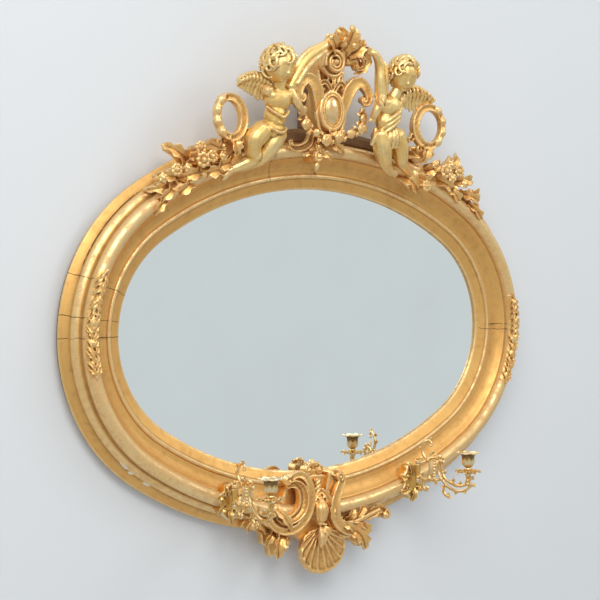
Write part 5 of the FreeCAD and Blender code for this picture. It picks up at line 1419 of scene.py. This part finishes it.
def on_arm(parts, name):
    """Forms drawn as (reach, sideways, height) from the pin, set on one arm at rest."""
    side = SIDES[name]
    a = math.radians(SPLAY[name])
    out = []
    for points, faces in parts:
        s, across, t = points.T
        x = side * (PIN_X + s * math.sin(a) + across * math.cos(a))
        depth = PIN_DEPTH + s * math.cos(a) - across * math.sin(a)
        out.append((np.stack([x, depth, t + ARM_Z[name]], 1), faces))
    return out


def wire(*stations):
    """Scrolled rod in the arm's own plane through (reach, height, radius) stations."""
    return tube([(s, 0.0, t, r) for s, t, r in stations], 0.85, sides=12)


def thorn(s, t, ds, dt, size, side=0.0):
    """Small pointed leaf growing from a rod at (s, t) by (ds, dt)."""
    return leaf([(s, side, t), (s + 0.5 * ds, side + 2.5, t + 0.5 * dt),
                 (s + ds, side + 1.0, t + dt)], size, 2, 0.35, 0.35, 1.6, count=14)


def casting_forms():
    """Cast arm: openwork gate of C-scrolls, then a double scrolled arm under the pan."""
    parts = [
        wire((28, 25, 2.6), (18, 31, 3.2), (11, 42, 3.4), (12, 54, 3.2), (19, 63, 3.0),
             (28, 66, 2.8), (35, 62, 2.6), (34, 56, 2.4)),
        wire((28, 26, 3.2), (31, 16, 3.0), (31, 4, 3.0), (28, -6, 3.0), (31, -13, 3.4)),
        wire((59, 27, 3.2), (53, 18, 3.0), (52, 6, 3.0), (56, -4, 3.0), (60, -12, 3.6)),
        wire((27, 26, 3.0), (36, 30, 3.2), (44, 31, 3.4), (52, 30, 3.2), (61, 26, 3.2)),
        wire((30, -12, 3.0), (38, -16, 3.0), (48, -16, 3.0), (60, -11, 3.2)),
        wire((43, 29, 2.2), (43, 8, 2.4), (43, -15, 2.2)),
        wire((60, 27, 3.4), (62, 12, 3.4), (64, 0, 3.4), (72, -11, 3.4), (86, -18, 3.4),
             (102, -22, 3.4), (118, -19, 3.4), (130, -10, 3.6), (134, -2, 3.8)),
        wire((60, -9, 3.0), (70, -20, 3.2), (84, -29, 3.4), (102, -33, 3.4), (120, -29, 3.4),
             (134, -20, 3.2), (140, -14, 2.8)),
        wire((3, 11, 3.0), (10, 17, 3.2), (20, 21, 3.0), (28, 24, 3.0)),
        wire((3, -8, 3.0), (10, -14, 3.2), (20, -17, 3.0), (30, -14, 3.0)),
        wire((15, -16, 2.8), (13, -26, 2.8), (16, -35, 2.8), (23, -39, 3.0), (27, -34, 2.6),
             (23, -30, 2.4)),
        wire((71, -22, 2.8), (67, -32, 2.8), (70, -42, 3.2), (77, -46, 3.0), (80, -38, 2.4))]
    for t in (26, 20, 14, 7, 0, -6, -12):
        parts.append(egg((43, 0, t), (3.6, 3.6, 3.0)))
    for s, t, r in ((28, 25, 4.4), (60, 26, 4.6), (30, -13, 4.0), (61, -11, 4.6), (10, 28, 3.6),
                    (34, 56, 3.6), (57, 35, 4.2), (66, 25, 3.8), (34, 38, 3.2), (24, -32, 3.2),
                    (73, -24, 3.8), (128, -15, 5.0), (78, -45, 3.6)):
        parts.append(egg((s, 0, t), (r, r * 0.95, r)))
    for s, t, ds, dt, size in (
            (12, 44, -8, 8, 5), (16, 58, -7, 9, 5), (30, 66, 5, 8, 4.5), (28, 26, -9, 3, 5),
            (44, 31, 0, 10, 5.5), (58, 28, 8, 7, 5), (34, 40, 7, 6, 4), (64, 2, 9, 5, 5),
            (31, -14, -6, -8, 4.5), (44, -17, 0, -9, 5), (86, -17, 5, 11, 5.5),
            (104, -22, 5, 11, 5), (120, -18, 6, 11, 5), (98, -32, -4, -9, 5),
            (116, -29, 6, -8, 5), (70, -42, -9, 6, 5.5), (76, -46, 8, -5, 5), (67, -30, -9, 3, 5),
            (138, -16, 9, -3, 5), (134, -4, 9, 4, 4.5), (16, -34, -7, -4, 4.5)):
        parts.append(thorn(s, t, ds, dt, size))
        parts.append(thorn(s, t, ds * 0.8, dt * 0.8, size * 0.8, -2.0))
    a = angles(40)

    def turned(profile, s):
        """Round piece about a vertical line at reach s from (radius, height) pairs."""
        return grid(np.stack([s + np.cos(a)[None] * profile[:, :1],
                              np.sin(a)[None] * profile[:, :1],
                              np.repeat(profile[:, 1:], len(a), 1)], -1))

    parts.append(turned(rows((5.95, -14.9), (6.3, -14), (6.3, -11), (5.7, -10), (5.7, 10),
                             (6.3, 11), (6.3, 14), (5.95, 14.9)), 0.0))
    parts.append(turned(rows((2.5, -13), (4.4, -11), (5.2, -8), (4.0, -4), (4.2, -1), (6.4, 3),
                             (6.8, 6), (5.5, 7.9)), PAN_REACH))
    parts.append(turned(rows((3.1, 6), (3.1, 18), (2.8, 19)), PAN_REACH))
    return parts


def wavy(profile, share, lift):
    """Round piece on the pan's axis whose rim has eight waves: at angle a each
    (radius, height, k) row gains k * share * cos 8a of its radius and k * lift * cos 8a of
    height."""
    a = angles(96)[None]
    r, t, k = (profile[:, j][:, None] for j in range(3))
    wave = np.cos(8 * a)
    r = r * (1 + k * share * wave)
    return grid(np.stack([PAN_REACH + r * np.cos(a), r * np.sin(a),
                          t + k * lift * wave + 0 * a], -1))


def pan_forms():
    """Drip pan: a shallow dish with a fringe of flared leaves."""
    parts = [wavy(rows((4.0, 8.2, 0), (9, 8.4, 0), (14, 9.4, 0), (17.5, 11.6, 0.2),
                       (19.5, 12.4, 0.4), (20, 11.6, 0.4), (17, 10.0, 0.2), (12, 7.6, 0),
                       (8, 6.9, 0), (4.0, 7.0, 0)), 0.05, 0.5)]
    for k in range(8):
        a = 2 * math.pi * (k + 0.5) / 8
        c, s = math.cos(a), math.sin(a)
        drop = 3.0 if k % 2 else 0.0
        spine = [(PAN_REACH + r * c, r * s, t) for r, t in
                 ((13, 9.2), (20, 12.5 - drop * 0.3), (25, 12.0 - drop), (28, 9.5 - drop))]
        parts.append(leaf(spine, 7.2, 2, 0.35, 0.25, 1.8, up=(0.001, 0.0, 1.0), count=20))
    return parts


def cup_forms():
    """Tulip candle cup: a knop, a fluted bowl and a wavy flared rim, open at the top."""
    profile = rows(
        (3.6, 11.0, 0), (5.6, 12.4, 0), (7.6, 14.5, 0), (7.8, 16.6, 0), (6.0, 18.4, 0),
        (5.4, 19.4, 0), (7.6, 20.6, 0.2), (10.2, 22.4, 0.8), (12.2, 25.5, 1), (13.0, 29, 1),
        (12.9, 33, 1), (12.5, 37, 1), (12.6, 41, 0.8), (13.8, 44.0, 0.6), (16.4, 46.2, 0.8),
        (19.6, 47.3, 1.2), (22.6, 48.2, 1.6), (23.6, 49.2, 1.8), (23.2, 50.0, 1.8),
        (21.4, 49.6, 1.5), (18.6, 48.8, 1.0), (15.4, 47.7, 0.6), (12.7, 45.6, 0.3),
        (11.3, 42.8, 0.1), (10.95, 40, 0), (10.95, 36, 0), (10.95, 32, 0), (10.95, 30.9, 0),
        (5, 30.8, 0))
    return [wavy(profile, 0.045, 0.55)]


def plate_forms(name):
    """Rocaille backplate with two eyes for the pin, which shows between them."""
    side, z = SIDES[name], -327.0
    x = side * PIN_X
    half = [(-6, 37), (8, 32), (14, 22), (23, 17), (26, 4), (19, -6), (21, -19), (12, -29),
            (-2, -37), (-12, -29), (-23, -25), (-27, -12), (-21, 0), (-25, 13), (-18, 23),
            (-14, 33)]
    outline = [(x + side * u, z + v) for u, v in half]
    parts = [pad(outline, 46.4, 70, 4, 2)]

    for width, *places in ((9, (-2, 68, 10), (-4, 75, 24), (-8, 74, 36), (-14, 68, 42)),
                           (7, (4, 68, 10), (10, 75, 22), (12, 74, 32), (7, 70, 37)),
                           (8, (8, 68, 6), (18, 75, 12), (25, 73, 12), (29, 68, 6)),
                           (8, (8, 68, -6), (18, 75, -10), (24, 73, -16), (23, 68, -24)),
                           (9, (0, 68, -12), (2, 75, -24), (-1, 73, -36), (-6, 68, -40)),
                           (8, (-8, 68, -8), (-18, 75, -16), (-26, 72, -20), (-30, 68, -14)),
                           (8, (-8, 68, 6), (-18, 75, 10), (-26, 72, 12), (-30, 67, 20))):
        parts.append(leaf([(x + side * u, d, z + v) for u, d, v in places], width, 4,
                          0.45, 0.35, 3.0, count=34))
    low = ARM_Z[name]
    a = angles(30)
    for s in (-1, 1):
        parts.append(tube([(x, 68, low + s * 19.3, 3.9), (x, 84, low + s * 19.3, 3.7)],
                          count=10))
        rings = []
        for r, t in ((5.2, 15.5), (6.2, 16.2), (6.2, 22.2), (5.2, 23.2)):
            rings.append(np.stack([x + r * np.cos(a), PIN_DEPTH + r * np.sin(a),
                                   np.full(30, low + s * t)], 1))
        parts.append(grid(np.stack(rings)))
    return parts


# -------------------------------------------------------------------- the stage

def aimed(piece, place, aim):
    """Puts a light or camera at a place (m), looking at the aim."""
    piece.location = place
    direction = mathutils.Vector(aim) - piece.location
    piece.rotation_euler = direction.to_track_quat("-Z", "Y").to_euler()
    return piece


def soft_light(name, place, aim, size, power, colour):
    lamp = bpy.data.lights.new(name, "AREA")
    lamp.shape, lamp.size, lamp.size_y = "RECTANGLE", size[0], size[1]
    lamp.energy, lamp.color = power, colour
    piece = aimed(placed(name, lamp), place, aim)


def stage_surface(name, corners, material):
    """Plain rectangle of the room through four corners (m)."""
    mesh = bpy.data.meshes.new(name)
    mesh.from_pydata(corners, [], [(0, 1, 2, 3)])
    mesh.materials.append(material)
    piece = placed(name, mesh)


def wall_paint(name, colour):
    """Flat pale paint, clear from behind and to rays shorter than 20 to 30 mm, so that light
    reaches the object's back."""
    f = Finish(name)
    where = f.place()
    cloud = f.noise(where, 1.2, 2.0)
    paint = f.node("ShaderNodeBsdfPrincipled", {}, **{
        "Base Color": f.mix((cloud - 0.4).held() * 0.12, colour, srgb(198, 200, 202)),
        "Roughness": 0.85, "Specular IOR Level": 0.2})
    clear = f.node("ShaderNodeBsdfTransparent", {})
    behind = f.node("ShaderNodeNewGeometry", out="Backfacing")
    close = f.node("ShaderNodeLightPath", out="Ray Length").between(0.030, 0.020)
    both = f.node("ShaderNodeMixShader", {}, (behind + close).held(), paint, clear)
    f.node("ShaderNodeOutputMaterial", {}, Surface=both)
    return f.material


def make_world():
    """Soft room light, brighter from above; the camera and mirror see a plain pale room."""
    world = bpy.data.worlds.new("room")
    bpy.context.scene.world = world
    f = Finish("room", world)
    height = f.parts(f.node("ShaderNodeTexCoord", out="Generated"))[2]
    glow = f.mix(height.between(-0.9, 0.0), (0.30, 0.29, 0.28, 1), (0.66, 0.71, 0.72, 1))
    glow = f.mix(height.between(0.05, 0.9), glow, (1.05, 1.06, 1.08, 1))
    lit = f.node("ShaderNodeBackground", {}, glow, 0.68)
    seen = f.node("ShaderNodeBackground", {}, glow, 1.0)
    ray = f.node("ShaderNodeLightPath", out="Is Glossy Ray")
    made = f.node("ShaderNodeMixShader", {}, ray, lit, seen)
    f.node("ShaderNodeOutputWorld", {}, Surface=made)


def make_camera():
    """Camera of the photograph: seen 36 degrees from the left, almost level."""
    data = bpy.data.cameras.new("view")
    data.lens, data.sensor_width = 92.15, 36.0
    data.clip_start, data.clip_end = 0.05, 60.0
    bpy.context.scene.camera = aimed(placed("view", data), (-1.8699, -2.5560, 0.1524),
                                     (-0.00804, 0.0066, 0.06098))


# ------------------------------------------------------------ the panel's settings

class MirrorSettings(bpy.types.PropertyGroup):
    """Choices for the whole dressing of the mirror."""
    voxel: bpy.props.FloatProperty(
        name="Carving grain", default=0.00156, min=0.0006, max=0.004, unit="LENGTH",
        description="Size of the cells in which the carved pieces are worked")
    hammer: bpy.props.FloatProperty(
        name="Tool marks", default=0.25, min=0.0, max=1.0,
        description="Depth of the tool marks on the carving, in millimetres")
    wear: bpy.props.FloatProperty(
        name="Wear", default=0.5, min=0.0, max=1.0,
        description="How far the leaf is rubbed through on the ridges")


class LightSettings(bpy.types.PropertyGroup):
    """Choices for the room the mirror hangs in."""
    key: bpy.props.FloatProperty(
        name="Key light", default=60.0, min=0.0, unit="POWER",
        description="Power of the large soft light above on the left")
    fill: bpy.props.FloatProperty(
        name="Fill light", default=20.0, min=0.0, unit="POWER",
        description="Power of the weaker light on the right")


# ------------------------------------------------------------------- operators

FINISHES = {}


def finishes():
    """The finishes, made once and shared."""
    if not FINISHES:
        wear = bpy.context.scene.mirror_settings.wear
        gold, lemon = srgb(233, 178, 104), srgb(238, 190, 116)
        # dark brown for soiled patches, and for soiling and painted shade in the hollows
        grime_and_shade = srgb(116, 76, 38)
        FINISHES.update(
            carving=gilding("leaf_on_carving", gold, lemon, grime_and_shade, wear),
            polished=gilding("burnished_leaf", srgb(222, 176, 110), srgb(216, 186, 128), grime_and_shade,
                             0.2, 0.24),
            # third colour below: soiled patches, and soiling and painted shade in the hollows
            pale=gilding("leaf_on_figures", srgb(236, 192, 112), srgb(238, 204, 136),
                         srgb(126, 98, 48), wear * 0.7, 0.40),
            moulding=gilding("leaf_on_moulding", srgb(232, 182, 108), srgb(228, 176, 102), grime_and_shade,
                             wear, 0.46, 0.5, CRACKS, FLAKES, SEAM),
            # the third colour of each brass darkens its hollows: soiling and painted shade
            brass=cast_brass("gilt_brass", srgb(222, 176, 96), srgb(232, 208, 160),
                             srgb(98, 70, 36)),
            cup=cast_brass("worn_brass", srgb(214, 180, 118), srgb(232, 212, 168),
                           srgb(104, 80, 48)),
            wood=bare_wood("old_softwood", srgb(150, 118, 84), srgb(104, 76, 50)),
            board=bare_wood("backboard", srgb(164, 134, 98), srgb(118, 90, 62)),
            glass=silvered_glass("mirror_glass"),
            iron=dark_iron("iron"))
    return FINISHES


class MIRROR_OT_frame(bpy.types.Operator):
    """Gilded skins of the moulding, and finishes for the bodies that stay in view"""
    bl_idname = "mirror.frame"
    bl_label = "Moulded frame"

    def execute(self, context):
        kit = finishes()
        for name, start in (("upper_right", 0), ("upper_left", 90), ("lower_left", 180),
                            ("lower_right", 270)):
            frame_skin("gilding_" + name, start, kit["moulding"])
        for finish, names in (
                ("wood", ("frame_upper_left", "frame_upper_right", "frame_lower_left",
                          "frame_lower_right", "crest_rail", "crest_bracket", "glass_pads",
                          "frame_tongues")),
                ("board", ("backboard_upper", "backboard_middle", "backboard_lower")),
                ("iron", ("hanger_plates", "hanger_screws", "crest_screws", "backboard_brads")),
                ("brass", ("sconce_pin_left", "sconce_pin_right", "sconce_screws")),
                ("glass", ("mirror_plate",))):
            for name in names:
                dress_node(name, kit[finish])
        return {"FINISHED"}


def grain():
    """Cell size (mm) and tool-mark depth from the panel."""
    own = bpy.context.scene.mirror_settings
    return own.voxel / MM, own.hammer


def carve_gilt(share, pieces):
    """Carves and gilds pairs of CAD node and forms, in cells of this share of the grain."""
    voxel, hammer = grain()
    for name, parts in pieces:
        carved("carved_" + name, parts, finishes()["carving"], [name], voxel * share, 2, hammer)


class MIRROR_OT_crest(bpy.types.Operator):
    """Shield, volute, crown, scrolls, garland and foot of the crest"""
    bl_idname = "mirror.crest"
    bl_label = "Crest"

    def execute(self, context):
        horn = horn_forms()
        carve_gilt(0.8, (("crest_shield", shield_forms()), ("crest_volute", volute_forms()),
                         ("crest_crown", crown_forms()), ("shield_scroll_left", horn),
                         ("shield_scroll_right", flipped(horn, 3.0)),
                         ("rose_garland", garland_forms()), ("crest_foot", foot_forms())))
        boss = to_mesh("cabochon", [egg((2, 86, 443), (20.5, 12.5, 30.5), rows_=30, sides=40)])
        mark_hollows(boss)
        finish_piece("carved_cabochon", boss, finishes()["polished"], ["crest_cabochon"])
        return {"FINISHED"}


class MIRROR_OT_putti(bpy.types.Operator):
    """The two winged putti beside the shield"""
    bl_idname = "mirror.putti"
    bl_label = "Putti"

    def execute(self, context):
        kit = finishes()
        voxel, hammer = grain()
        for side, forms in (("left", putto_left()), ("right", putto_right())):
            for part, parts, cell in zip(("body", "arm", "head", "wing"), forms,
                                         (0.9, 0.8, 0.65, 0.75)):
                name = "putto_" + part + "_" + side
                carved("carved_" + name, parts, kit["pale"], [name], voxel * cell,
                       3 if part == "body" else 2, hammer * 0.6)
        return {"FINISHED"}


class MIRROR_OT_sprays(bpy.types.Operator):
    """Scroll rings, flower sprays and the panels at the ends of the oval"""
    bl_idname = "mirror.sprays"
    bl_label = "Rings, sprays and panels"

    def execute(self, context):
        for side in SIDES:
            carve_gilt(0.9, (("scroll_ring_" + side, ring_forms(side)),
                             ("spray_leaves_" + side, spray_forms(side)),
                             ("spray_flowers_" + side, flower_forms(side)),
                             ("side_relief_" + side, relief_forms(side))))
        return {"FINISHED"}


class MIRROR_OT_console(bpy.types.Operator):
    """Scrolls, stem, shell and leaves of the bottom bracket"""
    bl_idname = "mirror.console"
    bl_label = "Console"

    def execute(self, context):
        core = pad([(-56, -304), (-16, -294), (32, -302), (46, -330), (44, -380), (38, -428),
                    (0, -444), (-42, -428), (-82, -398), (-95, -352), (-82, -314)], 24, 51.5, 2)
        carve_gilt(0.75, (("console_core", [core]), ("console_cap", cap_forms()),
                          ("console_stem", stem_forms()),
                          ("console_scroll_left", left_scroll_forms()),
                          ("console_scroll_right", right_limb_forms()),
                          ("console_shell", shell_forms()),
                          ("acanthus_left", acanthus_left_forms()),
                          ("acanthus_right", acanthus_right_forms())))
        seed = to_mesh("seed", [tube([(-15, 73, -399, 3), (-15, 76, -408, 6), (-15, 77, -420, 8),
                                      (-15, 76, -432, 5.5), (-15, 75, -439, 2.5)], sides=40,
                                     count=60)])
        mark_hollows(seed)
        finish_piece("carved_shell_seed", seed, finishes()["carving"], ["shell_seed"])
        return {"FINISHED"}


class MIRROR_OT_arms(bpy.types.Operator):
    """Backplates, swinging arms, drip pans and candle cups"""
    bl_idname = "mirror.arms"
    bl_label = "Candle arms"

    def execute(self, context):
        kit = finishes()
        voxel, _ = grain()
        for side in SIDES:
            body = "arm_" + side
            for name, parts, node, share, marks, rides in (
                    ("cast_plate_", plate_forms(side), "sconce_plate_", 0.6, 0.05, "frame"),
                    ("cast_arm_", on_arm(casting_forms(), side), "sconce_arm_", 0.42, 0.03, body),
                    ("cast_pan_", on_arm(pan_forms(), side), "drip_pan_", 0.4, 0.03, body)):
                carved(name + side, parts, kit["brass"], [node + side], voxel * share, 1, marks,
                       rides)
            cup = to_mesh("cup_" + side, on_arm(cup_forms(), side))
            mark_hollows(cup, 3, 12)
            finish_piece("cast_cup_" + side, cup, kit["cup"], ["candle_cup_" + side], body)
        return {"FINISHED"}


class MIRROR_OT_stage(bpy.types.Operator):
    """Wall, floor, lights, camera and world"""
    bl_idname = "mirror.stage"
    bl_label = "Room"

    def execute(self, context):
        lights = context.scene.light_settings
        side, near, back, low, high = 6, -7, 0.004, -1.55, 4.5       # of the room, in metres
        stage_surface("wall", [(-side, back, low), (side, back, low), (side, back, high),
                               (-side, back, high)],
                      wall_paint("wall_paint", srgb(229, 231, 233)))
        stage_surface("floor", [(-side, near, low), (side, near, low), (side, back, low),
                                (-side, back, low)],
                      wall_paint("floor_paint", srgb(214, 216, 218)))
        soft_light("key", (-1.5, -2.6, 2.1), (0, 0, 0.1), (2.6, 2.0), lights.key,
                   (1.0, 0.98, 0.95))
        soft_light("fill", (2.3, -2.4, 2.1), (0, 0, 0), (1.6, 1.2), lights.fill,
                   (0.94, 0.97, 1.0))
        make_world()
        make_camera()
        context.scene.view_settings.view_transform = "Standard"
        return {"FINISHED"}


class MIRROR_PT_panel(bpy.types.Panel):
    """Buttons and settings in the sidebar"""
    bl_label = "Girandole mirror"
    bl_space_type = "VIEW_3D"
    bl_region_type = "UI"
    bl_category = "Mirror"

    def draw(self, context):
        for group in (context.scene.mirror_settings, context.scene.light_settings):
            for key in group.bl_rna.properties.keys():
                if key not in ("name", "rna_type"):
                    self.layout.prop(group, key)
        for step in STEPS:
            self.layout.operator(step.bl_idname)


STEPS = (MIRROR_OT_frame, MIRROR_OT_crest, MIRROR_OT_putti, MIRROR_OT_sprays,
         MIRROR_OT_console, MIRROR_OT_arms, MIRROR_OT_stage)
CLASSES = (MirrorSettings, LightSettings) + STEPS + (MIRROR_PT_panel,)


def register():
    for kind in CLASSES:
        bpy.utils.register_class(kind)
    bpy.types.Scene.mirror_settings = bpy.props.PointerProperty(type=MirrorSettings)
    bpy.types.Scene.light_settings = bpy.props.PointerProperty(type=LightSettings)


def unregister():
    del bpy.types.Scene.mirror_settings
    del bpy.types.Scene.light_settings
    for kind in reversed(CLASSES):
        bpy.utils.unregister_class(kind)


def main():
    register()
    for step in STEPS:
        group, name = step.bl_idname.split(".")
        getattr(getattr(bpy.ops, group), name)()


if __name__ == "__main__":
    main()
